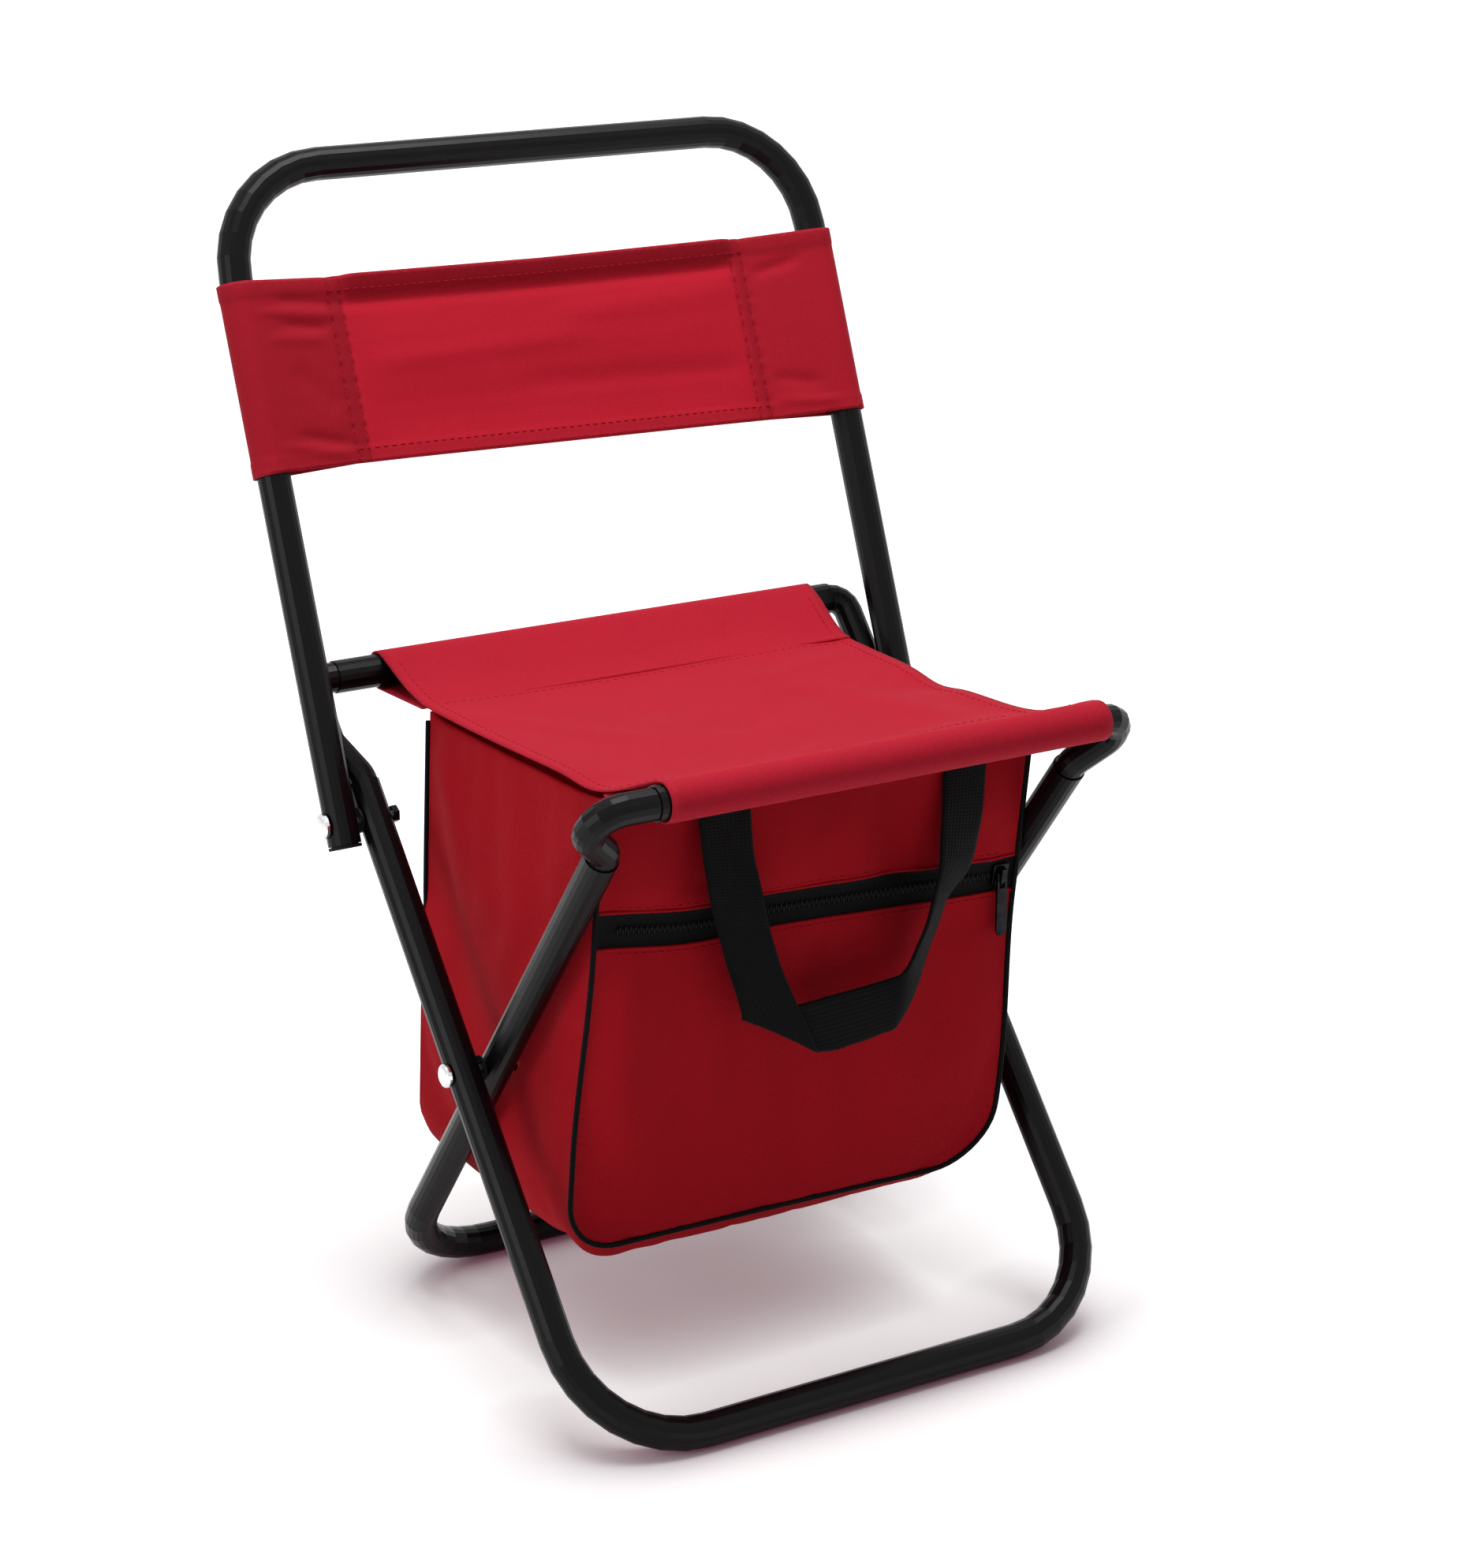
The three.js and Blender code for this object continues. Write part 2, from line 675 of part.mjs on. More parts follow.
function bagLining() {
  const y0 = BAG_FRONT + BAG_WALL + GAP;
  const y1 = BAG_BACK - BAG_WALL - GAP;
  const inset = BAG_WALL + GAP + 1;
  const outerView = outline(bagFrontView(inset, TOP_STOCK));
  const innerView = outline(bagFrontView(inset + LINING, TOP_STOCK + 5));
  const outerBlock = toSolid(upright(outerView, y0 + 1, y1 - 1));
  const inner = toSolid(upright(innerView, y0 + 1 + LINING, y1 - 1 - LINING));
  const slotHalf = ZIP_HALF_LENGTH - 8;
  const slot = slanted(block(-slotHalf, slotHalf, y0 - 5, y0 + 20, ZIP_BOTTOM, ZIP_TOP));
  const hollow = outerBlock.subtract(inner).subtract(toSolid(slot));
  return cut(leaned(fromSolid(hollow)), aboveSeat(0.6 + BAG_WALL + GAP));
}

addPart('bag_front_upper', bagPanel(BAG_FRONT, BAG_FRONT + BAG_WALL, ZIP_TOP, TOP_STOCK), 'redCloth');
addPart('bag_front_lower', bagPanel(BAG_FRONT, BAG_FRONT + BAG_WALL, 0, ZIP_BOTTOM), 'redCloth');
addPart('bag_back', bagPanel(BAG_BACK - BAG_WALL, BAG_BACK, 0, TOP_STOCK), 'redCloth');
addPart('bag_gusset', bagGusset(), 'redCloth');
addPart('bag_top', bagTop(), 'redCloth');
addPart('bag_lining', bagLining(), 'foil');
addPart('bag_piping_front', bagPiping(BAG_FRONT + PIPING_RADIUS - 1), 'blackCloth');
addPart('bag_piping_back', bagPiping(BAG_BACK - PIPING_RADIUS + 1), 'blackCloth');

// Zip: two tapes, the closed row of teeth, a slider and its pull

const zipMiddle = BAG_FRONT + BAG_WALL / 2;

function zipTape(z0, z1) {
  return leaned(slanted(block(
    -ZIP_HALF_LENGTH, ZIP_HALF_LENGTH,
    zipMiddle - TAPE_THICK / 2, zipMiddle + TAPE_THICK / 2,
    z0 + GAP, z1 - GAP,
  )));
}

// Row of teeth: a strip whose upper and lower edges step in and out
function zipCoil() {
  const low = ZIP_BOTTOM + TAPE_HEIGHT + GAP;
  const high = ZIP_TOP - TAPE_HEIGHT - GAP;
  const count = Math.floor((2 * ZIP_HALF_LENGTH) / COIL_PITCH);
  const lower = [];
  const upper = [];
  for (let k = 0; k < count; k += 1) {
    const x = -ZIP_HALF_LENGTH + k * COIL_PITCH;
    const end = x + COIL_PITCH;
    const lowStep = x + COIL_PITCH * 0.6;
    const highStep = x + COIL_PITCH * 0.4;
    lower.push([x, low], [lowStep, low], [lowStep, low + COIL_STEP], [end, low + COIL_STEP]);
    upper.push([x, high - COIL_STEP], [highStep, high - COIL_STEP], [highStep, high], [end, high]);
  }
  const shape = outline([...lower, ...upper.reverse()]);
  return leaned(slanted(upright(shape, zipMiddle - COIL_THICK / 2, zipMiddle + COIL_THICK / 2)));
}

const sliderBack = zipMiddle - COIL_THICK / 2 - GAP;
const SLIDER = { halfWidth: 4.5, height: 11, thick: 2, bridge: 3.4, bar: 1 };

// Slider plate with an arched bridge in front of it
function zipSlider() {
  const front = sliderBack - SLIDER.thick;
  const low = ZIP_CENTRE - SLIDER.height / 2;
  const plate = toSolid(block(
    SLIDER_AT - SLIDER.halfWidth, SLIDER_AT + SLIDER.halfWidth,
    front, sliderBack, low, low + SLIDER.height,
  ));
  const side = outline([[front + 0.4, low + 1], [front - SLIDER.bridge, low + 2],
    [front - SLIDER.bridge, low + 9], [front + 0.4, low + 10]]);
  side.holes.push(outline([[front, low + 2.8], [front, low + 8.2],
    [front - SLIDER.bridge + SLIDER.bar, low + 8.2], [front - SLIDER.bridge + SLIDER.bar, low + 2.8]]));
  const bridge = toSolid(acrossX(side, SLIDER_AT - 1.3, SLIDER_AT + 1.3));
  return leaned(slanted(fromSolid(plate.add(bridge))));
}

// Pull: a long flat tab that hangs upright, its window hooked through the bridge
function zipPull() {
  const middleX = SLIDER_AT * Math.cos(ZIP_SLANT);
  const middleZ = ZIP_CENTRE - SLIDER_AT * Math.sin(ZIP_SLANT);
  const leanShift = bagSlope(sliderBack) * (BAG_SLOPE_ORIGIN - middleZ);
  const y1 = sliderBack - SLIDER.thick - 0.5 + leanShift;
  const y0 = y1 - 1.4;
  const top = middleZ + 1.2;
  const place = ([x, z]) => [x + middleX, z];
  const tab = [
    [-2.9, top], [2.9, top], [2.9, top - 9], [3.2, top - 30],
    [2, top - 33], [-2, top - 33], [-3.2, top - 30], [-2.9, top - 9],
  ];
  const window = [[-1.7, top - 1.6], [-1.7, top - 8], [1.7, top - 8], [1.7, top - 1.6]];
  const shape = outline(tab.map(place));
  shape.holes.push(outline(window.map(place)));
  return upright(shape, y0, y1);
}

addPart('zip_tape_upper', zipTape(ZIP_TOP - TAPE_HEIGHT, ZIP_TOP), 'blackCloth');
addPart('zip_tape_lower', zipTape(ZIP_BOTTOM, ZIP_BOTTOM + TAPE_HEIGHT), 'blackCloth');
addPart('zip_coil', zipCoil(), 'plastic');
addPart('zip_slider', zipSlider(), 'darkSteel');
addPart('zip_pull', zipPull(), 'darkSteel');

// Carry handle: a U of webbing

function handleEdge(inset) {
  const x0 = HANDLE_LEFT - HANDLE_WIDTH / 2 + inset;
  const x1 = HANDLE_RIGHT + HANDLE_WIDTH / 2 - inset;
  const r = HANDLE_CORNER - inset;
  const low = HANDLE_LOW + inset;
  return [
    [x0, HANDLE_TOP],
    ...arcPoints(x0 + r, low + r, r, Math.PI, Math.PI * 1.5, 8),
    ...arcPoints(x1 - r, low + r, r, Math.PI * 1.5, Math.PI * 2, 8),
    [x1, HANDLE_TOP],
  ];
}

function carryHandle() {
  const shape = outline([...handleEdge(0), ...handleEdge(HANDLE_WIDTH).reverse()]);
  return upright(shape, HANDLE_Y - HANDLE_THICK / 2, HANDLE_Y + HANDLE_THICK / 2);
}

addPart('carry_handle', carryHandle(), 'blackCloth');

export default stool;
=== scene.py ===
import json
import math

import bpy
import numpy as np
from mathutils import Matrix, Vector


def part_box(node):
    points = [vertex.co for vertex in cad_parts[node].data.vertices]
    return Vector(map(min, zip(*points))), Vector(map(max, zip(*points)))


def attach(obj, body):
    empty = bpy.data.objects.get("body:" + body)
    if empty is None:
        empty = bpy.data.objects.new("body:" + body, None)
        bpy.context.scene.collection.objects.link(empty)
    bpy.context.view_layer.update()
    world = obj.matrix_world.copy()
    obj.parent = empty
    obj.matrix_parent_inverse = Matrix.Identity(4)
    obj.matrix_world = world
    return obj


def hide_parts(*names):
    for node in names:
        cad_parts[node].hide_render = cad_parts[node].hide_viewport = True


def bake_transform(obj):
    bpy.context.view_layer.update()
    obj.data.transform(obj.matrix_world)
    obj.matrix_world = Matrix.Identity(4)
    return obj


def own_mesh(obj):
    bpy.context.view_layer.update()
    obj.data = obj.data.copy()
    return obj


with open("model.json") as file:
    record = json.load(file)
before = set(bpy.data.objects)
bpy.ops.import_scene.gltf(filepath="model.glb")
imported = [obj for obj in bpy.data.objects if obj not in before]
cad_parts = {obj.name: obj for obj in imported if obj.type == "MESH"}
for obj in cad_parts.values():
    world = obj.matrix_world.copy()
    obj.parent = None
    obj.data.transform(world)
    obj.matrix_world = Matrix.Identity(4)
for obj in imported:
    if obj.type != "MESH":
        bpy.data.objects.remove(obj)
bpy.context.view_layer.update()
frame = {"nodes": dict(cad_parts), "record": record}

# Folding cooler stool: cloth, bag, zip, webbing, materials, light and camera round the CAD frame.
# Metres, +Z up, the front faces -Y.

NODES = frame["nodes"]
UV_NAME = "weave"
WEAR_NAME = "wear"
DARKENING_NAME = "darkening_and_painted_shade"

# Seat: middle of the cloth's thickness, (y, z) between the rails and (y, x) along the side edges
SLEEVE_RADIUS = 0.0095
SEAT_DIP = [(-0.122, 0.3242), (-0.060, 0.3218), (0.000, 0.3210), (0.046, 0.3214), (0.062, 0.3236),
            (0.078, 0.3283)]
# Where the cloth leaves each rail, (y, z) from the top of its sleeve
SEAT_OFF_FRONT = (0.0024, -0.0003)
SEAT_OFF_REAR = (-0.0030, -0.0005)
SEAT_LEFT = [(-0.180, -0.1135), (-0.158, -0.1143), (-0.132, -0.1188), (-0.105, -0.1211),
             (0.000, -0.1215), (0.112, -0.1224)]
SEAT_RIGHT = [(-0.180, 0.1330), (-0.150, 0.1315), (-0.090, 0.1284), (-0.042, 0.1270),
              (0.000, 0.1298), (0.045, 0.1334), (0.112, 0.1396)]
# How far each side edge lifts or droops from that line, as (y, rise)
SEAT_LEFT_RISE = [(-0.150, 0.0), (-0.117, -0.0006), (-0.091, 0.0016), (-0.060, 0.0012), (0.000, 0.0004),
                  (0.050, 0.0)]
SEAT_RIGHT_RISE = [(-0.160, 0.0), (-0.114, -0.0017), (-0.068, -0.0024), (-0.042, -0.0046), (-0.012, -0.0018),
                   (0.034, -0.0026), (0.063, -0.0036), (0.088, 0.0)]
SEAT_EDGE_REACH = 0.050
# Where the sleeves are sewn under the seat, how far under it, and the turn round each rail in degrees
SEAT_FRONT_SEAM = -0.127
SEAT_REAR_SEAM = 0.054
SEAT_UNDER = 0.0022
FRONT_WRAP = (264, 76)
REAR_WRAP = (108, -97)
CLOTH_THICKNESS = 0.0011
RIDGE_TAPER = 0.25
SEAT_HEM = 0.008
SEAT_HEM_RISE = 0.00045
SEAT_HEM_STEP = 0.0012
SEAT_HEM_ROW = SEAT_HEM - 0.0015
SEAT_WEAR = 0.0035
SLEEVE_WEAR = 0.35
SEAT_DISH = 0.0030
RAIL_FADE = 0.03
# Columns of points across the seat
SEAT_COLUMNS = 53

# Backrest band, along the tubes from the pivot
BACK_PIVOT = Vector((0.0, 0.05211, 0.268))
BACK_LEAN = math.radians(21.15)
BACK_HALF_WIDTH = 0.1698
BAND_LOW = 0.174
BAND_HEIGHT = 0.100
BAND_SEAM = 0.123
BAND_ROWS = (0.1155, 0.1222)
BAND_HEM = 0.0085
BAND_HEM_RISE = 0.0004
BAND_HEM_STEP = 0.0014
BAND_HEM_ROW = BAND_HEM - 0.0012
BAND_WEAR = 0.0030
BAND_SAG = 1.2
BAND_SAG_FADE = 0.035
BAND_ROLL_FADE = 0.016
# Ridges on the rear layer, as a share of the front's, and how near a tube no ridge dents the cloth
BACK_RIDGES = 0.4
TUBE_REACH = 0.012
# How much darker the band is painted: left and right sleeve, seams and lower hem
SLEEVE_SHADES = (0.80, 0.55)
SEAM_SHADE = 0.30
LOW_HEM_SHADE = 0.4
# The seams' grooves
GROOVE_WIDTH = 0.0015
GROOVE_DEPTH = 0.0009
PUCKER = 0.3
PUCKER_RUN = 0.0013
BAND_COLUMNS = 57
# How far the lower and upper edges run from straight, as (x, shift along the tubes)
BAND_LOW_EDGE = [(-0.180, 0.0022), (-0.123, 0.0036), (0.0, 0.0012), (0.123, -0.0012), (0.180, -0.0022)]
BAND_TOP_EDGE = [(-0.180, 0.0), (-0.123, -0.0008), (0.0, -0.0026), (0.123, -0.0022), (0.180, -0.0022)]

# Cooler bag
BAG_HALF_WIDTH = 0.1203
BAG_SHIFT = 0.0012
BAG_BOTTOM = 0.0755
BAG_CORNER = 0.036
BAG_LEFT_CORNER = 0.027
BAG_TOP_Z = 0.322
BAG_TOP_GAP = 0.0030
BAG_FRONT_Y = -0.1265
BAG_BACK_Y = 0.0508
BAG_FRONT_SLOPE = 0.14
BAG_BACK_SLOPE = 0.09
BAG_TWIST = 0.0088
TWIST_REACH = 0.11
# The hanging bottom: its depth, where it is deepest and how squarely it ends
BAG_BELLY = 0.0110
BELLY_X = -0.02
BELLY_SQUARE = 34
# The right side leans out above this height
BAG_RIGHT_LEAN = 0.012
LEAN_FROM = 0.20
# The panels: how far a seam holds them flat, how far they bulge, and how the front's lower edge runs
SEAM_HOLD = 0.018
FRONT_BULGE = 0.0040
BACK_BULGE = 0.0045
LOW_TILT = 0.0022
LOW_BOW = 0.0015
# The back's lower left side swells out below this height
BACK_SWELL = 0.0030
SWELL_TOP = 0.225
SWELL_FADE = 0.03
BAG_WIDEST = 0.1230
LID_DROP = 0.0042
TAPE_DEPTH = 0.0011
PIPING_RADIUS = 0.0014
BAG_WEAR = 0.004
ZIP_CENTRE = 0.2455
ZIP_HALF_HEIGHT = 0.0092
ZIP_SLOPE = math.tan(math.radians(3.2))
# The zip dips at its left and bows a little over its whole length
ZIP_DIP = 0.0030
ZIP_DIP_X = -0.068
ZIP_DIP_WIDTH = 0.032
ZIP_BOW = 0.0012


# Lines and meshes

def run_lengths(line):
    steps = np.linalg.norm(np.diff(line, axis=0), axis=1)
    return np.concatenate([[0.0], np.cumsum(steps)])


def resample(line, count):
    along = run_lengths(line)
    at = np.linspace(0.0, along[-1], count)
    return np.column_stack([np.interp(at, along, line[:, k]) for k in range(line.shape[1])])


def spline(points, count):
    """Evenly spaced points on a smooth curve through the given points."""
    p = np.array(points, float)
    ends = np.vstack([2 * p[0] - p[1], p, 2 * p[-1] - p[-2]])
    t = np.linspace(0.0, 1.0, 24, endpoint=False)[:, None]
    pieces = []
    for a, b, c, d in zip(ends, ends[1:], ends[2:], ends[3:]):
        square = (2 * a - 5 * b + 4 * c - d) * t**2
        cube = (3 * b - a - 3 * c + d) * t**3
        pieces.append(0.5 * (2 * b + (c - a) * t + square + cube))
    return resample(np.vstack([*pieces, p[-1:]]), count)


def arc(centre, radius, start, end, count):
    angles = np.radians(np.linspace(start, end, count))
    return np.column_stack([centre[0] + radius * np.cos(angles), centre[1] + radius * np.sin(angles)])


def smoothstep(x):
    x = np.clip(x, 0.0, 1.0)
    return x * x * (3 - 2 * x)


def spread(values, columns):
    """A table whose columns all hold the given values."""
    return np.repeat(values[:, None], columns, axis=1)


def bell(x, width):
    return np.exp(-((x / width) ** 2))


def hem_rise(edge_gap, width, rise, step):
    """Height of a hem of that width along an edge, with a soft step at its inner side."""
    return rise * smoothstep((width - edge_gap) / step + 0.5)


def folds(a, b, ridges):
    """Height of soft ridges over a flat pattern (a, b).

    A ridge is its start, its end, its width and its height, six numbers in millimetres.
    """
    height = np.zeros_like(a)
    for row in ridges:
        *ends, width, peak = np.array(row) / 1000
        start = np.array(ends[:2])
        span = np.array(ends[2:]) - start
        length = np.linalg.norm(span)
        along = ((a - start[0]) * span[0] + (b - start[1]) * span[1]) / length**2
        across = ((a - start[0]) * -span[1] + (b - start[1]) * span[0]) / length
        taper = smoothstep(along / RIDGE_TAPER + 0.5) * smoothstep((1 - along) / RIDGE_TAPER + 0.5)
        height += peak * taper * bell(across, width)
    return height


def quad_corners(table):
    """The four corners of each quad between the rows and columns of a table."""
    return np.stack([table[:-1, :-1], table[:-1, 1:], table[1:, 1:], table[1:, :-1]], axis=2)


def grid_faces(index):
    return quad_corners(index).reshape(-1, 4)


def corner_uvs(uv):
    return quad_corners(uv).reshape(-1, 2)


def link_object(name, data):
    obj = bpy.data.objects.new(name, data)
    bpy.context.scene.collection.objects.link(obj)
    return obj


def new_object(name, vertices, faces, uvs=None):
    mesh = bpy.data.meshes.new(name)
    mesh.from_pydata([tuple(v) for v in vertices], [], [tuple(int(i) for i in f) for f in faces])
    if uvs is not None:
        layer = mesh.uv_layers.new(name=UV_NAME)
        layer.data.foreach_set("uv", np.asarray(uvs, np.float32).ravel())
    mesh.update()
    mesh.shade_smooth()
    return link_object(name, mesh)


def set_shade(obj, name, values):
    layer = obj.data.attributes.new(name, "FLOAT", "POINT")
    layer.data.foreach_set("value", np.asarray(values, np.float32).ravel())


def freeze(obj):
    """Make the thickened mesh the object's own."""
    shown = obj.evaluated_get(bpy.context.evaluated_depsgraph_get())
    mesh = bpy.data.meshes.new_from_object(shown)
    obj.modifiers.clear()
    obj.data = mesh


def soften(obj):
    smooth = obj.modifiers.new("smooth", "SUBSURF")
    smooth.levels = 1
    smooth.render_levels = 1


def tube_along(name, line, radius, sides=10):
    """A round cord along a line, with its ends closed off by caps."""
    line = np.asarray(line, float)
    tangent = np.gradient(line, axis=0)
    tangent /= np.linalg.norm(tangent, axis=1)[:, None]
    normal = np.zeros_like(line)
    guide = np.array([0.0, 1.0, 0.0]) if abs(tangent[0][1]) < 0.9 else np.array([1.0, 0.0, 0.0])
    for k, t in enumerate(tangent):
        guide = guide - t * guide.dot(t)
        guide = guide / np.linalg.norm(guide)
        normal[k] = guide
    side = np.cross(tangent, normal)
    turn = np.linspace(0.0, 2 * math.pi, sides + 1)
    cosine = radius * np.cos(turn[:-1])[None, :, None]
    sine = radius * np.sin(turn[:-1])[None, :, None]
    rings = line[:, None] + cosine * normal[:, None] + sine * side[:, None]
    index = np.arange(len(line) * sides).reshape(len(line), sides)
    wrapped = np.hstack([index, index[:, :1]])
    faces = [*grid_faces(wrapped), index[0][::-1], index[-1]]
    u = np.tile(turn * radius, (len(line), 1))
    uv = np.stack([u, spread(run_lengths(line), sides + 1)], axis=-1)
    cap_uv = np.zeros((2 * sides, 2))
    return new_object(name, rings.reshape(-1, 3), faces, np.vstack([corner_uvs(uv), cap_uv]))


# Materials

def feed(tree, target, value):
    """Give an input its value, or the socket that it takes its value from."""
    if isinstance(value, bpy.types.NodeSocket):
        tree.links.new(value, target)
    else:
        target.default_value = value


def add_node(tree, kind, inputs=(), **settings):
    made = tree.nodes.new(kind)
    for key, value in settings.items():
        setattr(made, key, value)
    for key, value in dict(inputs).items():
        feed(tree, made.inputs[key], value)
    return made


class Shader:
    """One node material, with short calls for the nodes that it uses."""

    def __init__(self, name):
        self.material = bpy.data.materials.new(name)
        self.material.use_nodes = True
        self.tree = self.material.node_tree
        self.surface = self.tree.nodes["Principled BSDF"]

    def node(self, kind, inputs=(), **settings):
        return add_node(self.tree, kind, inputs, **settings)

    def math(self, operation, a, b=0.0, c=0.0):
        return self.node("ShaderNodeMath", {0: a, 1: b, 2: c}, operation=operation).outputs[0]

    def times(self, a, b):
        return self.math("MULTIPLY", a, b)

    def plus(self, a, b):
        return self.math("ADD", a, b)

    def noise(self, vector, scale, detail=3.0, roughness=0.5):
        inputs = {"Vector": vector, "Scale": scale, "Detail": detail, "Roughness": roughness}
        return self.node("ShaderNodeTexNoise", inputs).outputs["Fac"]

    def stretched(self, vector, scale, shift=(0.0, 0.0, 0.0)):
        inputs = {0: vector, 1: scale, 2: shift}
        return self.node("ShaderNodeVectorMath", inputs, operation="MULTIPLY_ADD").outputs[0]

    def mapped(self, value, kind, low, high):
        inputs = {"Value": value, kind + " Min": low, kind + " Max": high}
        return self.node("ShaderNodeMapRange", inputs).outputs["Result"]

    def ramp(self, value, low, high):
        """0 up to low and 1 from high."""
        return self.mapped(value, "From", low, high)

    def between(self, value, low, high):
        """low at 0 and high at 1."""
        return self.mapped(value, "To", low, high)

    def mix(self, fac, a, b):
        return self.node("ShaderNodeMix", {0: fac, 6: a, 7: b}, data_type="RGBA").outputs[2]

    def bump(self, height, distance, strength=1.0, **under):
        inputs = {"Strength": strength, "Distance": distance, "Height": height, **under}
        return self.node("ShaderNodeBump", inputs).outputs["Normal"]

    def waves(self, uv, *pitches):
        """A sine wave along each of the pattern's two ways."""
        parts = self.node("ShaderNodeSeparateXYZ", {0: uv}).outputs
        turns = [self.times(part, 2 * math.pi / pitch) for part, pitch in zip(parts, pitches)]
        return [self.math("SINE", turn) for turn in turns]

    def set(self, **values):
        for key, value in values.items():
            feed(self.tree, self.surface.inputs[key.replace("_", " ")], value)

    def cover(self, cloud, deep, plain, low, high):
        """Colour from deep to plain and roughness from low to high, as a cloud of noise goes."""
        self.set(Base_Color=self.mix(self.ramp(cloud, 0.3, 0.7), deep, plain))
        self.set(Roughness=self.between(cloud, low, high))

    def pattern(self):
        return self.node("ShaderNodeUVMap", uv_map=UV_NAME).outputs["UV"]

    def place(self):
        return self.node("ShaderNodeTexCoord").outputs["Object"]

    def shade(self, name):
        return self.node("ShaderNodeAttribute", attribute_name=name).outputs["Fac"]


def rgb(red, green, blue):
    return (red, green, blue, 1.0)


# Cloth: distance between threads, how fine and how long their marks are, and how far and to what colour the
# darkening attribute darkens it, partly painted shade
WEAVE_PITCH = 0.0011
THREADS = 1500.0
SLUBS = 40.0
DARKENING_DEPTH = 0.34
DARKENING_COLOUR = rgb(0.03, 0.002, 0.004)
SHEEN_TINT = rgb(1.0, 0.42, 0.50)


def cloth_material(name, deep, plain, worn, sheen, shine):
    """Woven polyester: threads, uneven dye, creases, paler worn edges, and darker where the darkening
    attribute is set, partly painted shade.
    """
    s = Shader(name)
    uv = s.pattern()
    cells = s.math("MULTIPLY_ADD", s.times(*s.waves(uv, WEAVE_PITCH, WEAVE_PITCH)), 0.5, 0.5)
    warp = s.noise(s.stretched(uv, (THREADS, SLUBS, 1.0)), 1.0, 1.0)
    weft = s.noise(s.stretched(uv, (SLUBS, THREADS, 1.0)), 1.0, 1.0)
    threads = s.times(s.plus(warp, weft), 0.5)
    patches = s.noise(uv, 14.0, 4.0, 0.55)
    tone = s.times(s.plus(s.plus(threads, patches), cells), 1 / 3)
    dyed = s.mix(s.ramp(tone, 0.25, 0.75), deep, plain)
    # Darker by the darkening attribute: painted shade under the band's rolled top hem and the seat's front
    # roll, and darker sleeves, seams and lower hem
    dyed = s.mix(s.times(s.shade(DARKENING_NAME), DARKENING_DEPTH), dyed, DARKENING_COLOUR)
    rubbed = s.times(s.shade(WEAR_NAME), s.ramp(s.noise(uv, 420.0, 3.0), 0.35, 0.75))
    colour = s.mix(s.times(rubbed, 0.55), dyed, worn)
    creases = s.noise(s.stretched(uv, (60.0, 42.0, 1.0)), 1.0, 5.0, 0.6)
    soft = s.bump(creases, 0.0009, 0.35)
    fine = s.bump(s.plus(cells, threads), 0.00016, 0.55, Normal=soft)
    rough = s.between(s.times(s.plus(cells, patches), 0.5), 0.62, 0.84)
    s.set(Base_Color=colour, Roughness=rough, Normal=fine)
    s.set(Sheen_Weight=sheen, Sheen_Roughness=0.4, Sheen_Tint=SHEEN_TINT)
    s.set(Specular_IOR_Level=shine)
    return s.material


def webbing_material(name, deep, plain, rib):
    """Woven tape: ribs along its length, with crossing picks."""
    s = Shader(name)
    uv = s.pattern()
    across, picks = s.waves(uv, rib, 0.7 * rib)
    height = s.plus(s.times(across, 0.7), s.times(picks, 0.4))
    patches = s.noise(uv, 90.0, 4.0, 0.6)
    colour = s.mix(s.ramp(patches, 0.3, 0.75), deep, plain)
    s.set(Base_Color=colour, Roughness=s.between(patches, 0.62, 0.86), Normal=s.bump(height, 0.0002, 0.7))
    s.set(Sheen_Weight=0.02, Sheen_Roughness=0.4, Specular_IOR_Level=0.07)
    return s.material


def paint_material(name, deep, scuffed):
    """Black powder coat: fine orange peel, uneven gloss and a few dull scuffs."""
    s = Shader(name)
    place = s.place()
    peel = s.noise(place, 1400.0, 2.0)
    cloud = s.noise(place, 38.0, 4.0, 0.6)
    scuff = s.ramp(s.noise(s.stretched(place, (90.0, 210.0, 60.0)), 1.0, 5.0, 0.7), 0.62, 0.78)
    colour = s.mix(s.times(scuff, 0.6), deep, scuffed)
    gloss = s.plus(s.between(cloud, 0.23, 0.36), s.times(scuff, 0.12))
    s.set(Base_Color=colour, Roughness=gloss, Normal=s.bump(peel, 0.00006, 0.5))
    s.set(Specular_IOR_Level=0.125)
    return s.material


def metal_material(name, deep, bright, low, high):
    """Plated metal: fine rubbing marks and uneven gloss."""
    s = Shader(name)
    place = s.place()
    cloud = s.noise(place, 160.0, 4.0, 0.6)
    marks = s.noise(s.stretched(place, (300.0, 2600.0, 2600.0)), 1.0, 2.0)
    s.cover(cloud, deep, bright, low, high)
    s.set(Normal=s.bump(marks, 0.00005, 0.35), Metallic=1.0)
    return s.material


def plastic_material(name, deep, plain):
    """Moulded plastic with a fine spark-eroded grain."""
    s = Shader(name)
    place = s.place()
    grain = s.noise(place, 2200.0, 3.0, 0.6)
    cloud = s.noise(place, 70.0, 3.0)
    s.cover(cloud, deep, plain, 0.42, 0.6)
    s.set(Normal=s.bump(grain, 0.00008, 0.5), Specular_IOR_Level=0.09)
    return s.material


def thread_material(name, deep, plain):
    """Sewing thread: twisted strands, from the object's place."""
    s = Shader(name)
    strands = s.noise(s.place(), 3800.0, 2.0)
    s.cover(strands, deep, plain, 0.5, 0.7)
    s.set(Normal=s.bump(strands, 0.0001, 0.6), Specular_IOR_Level=0.12)
    return s.material
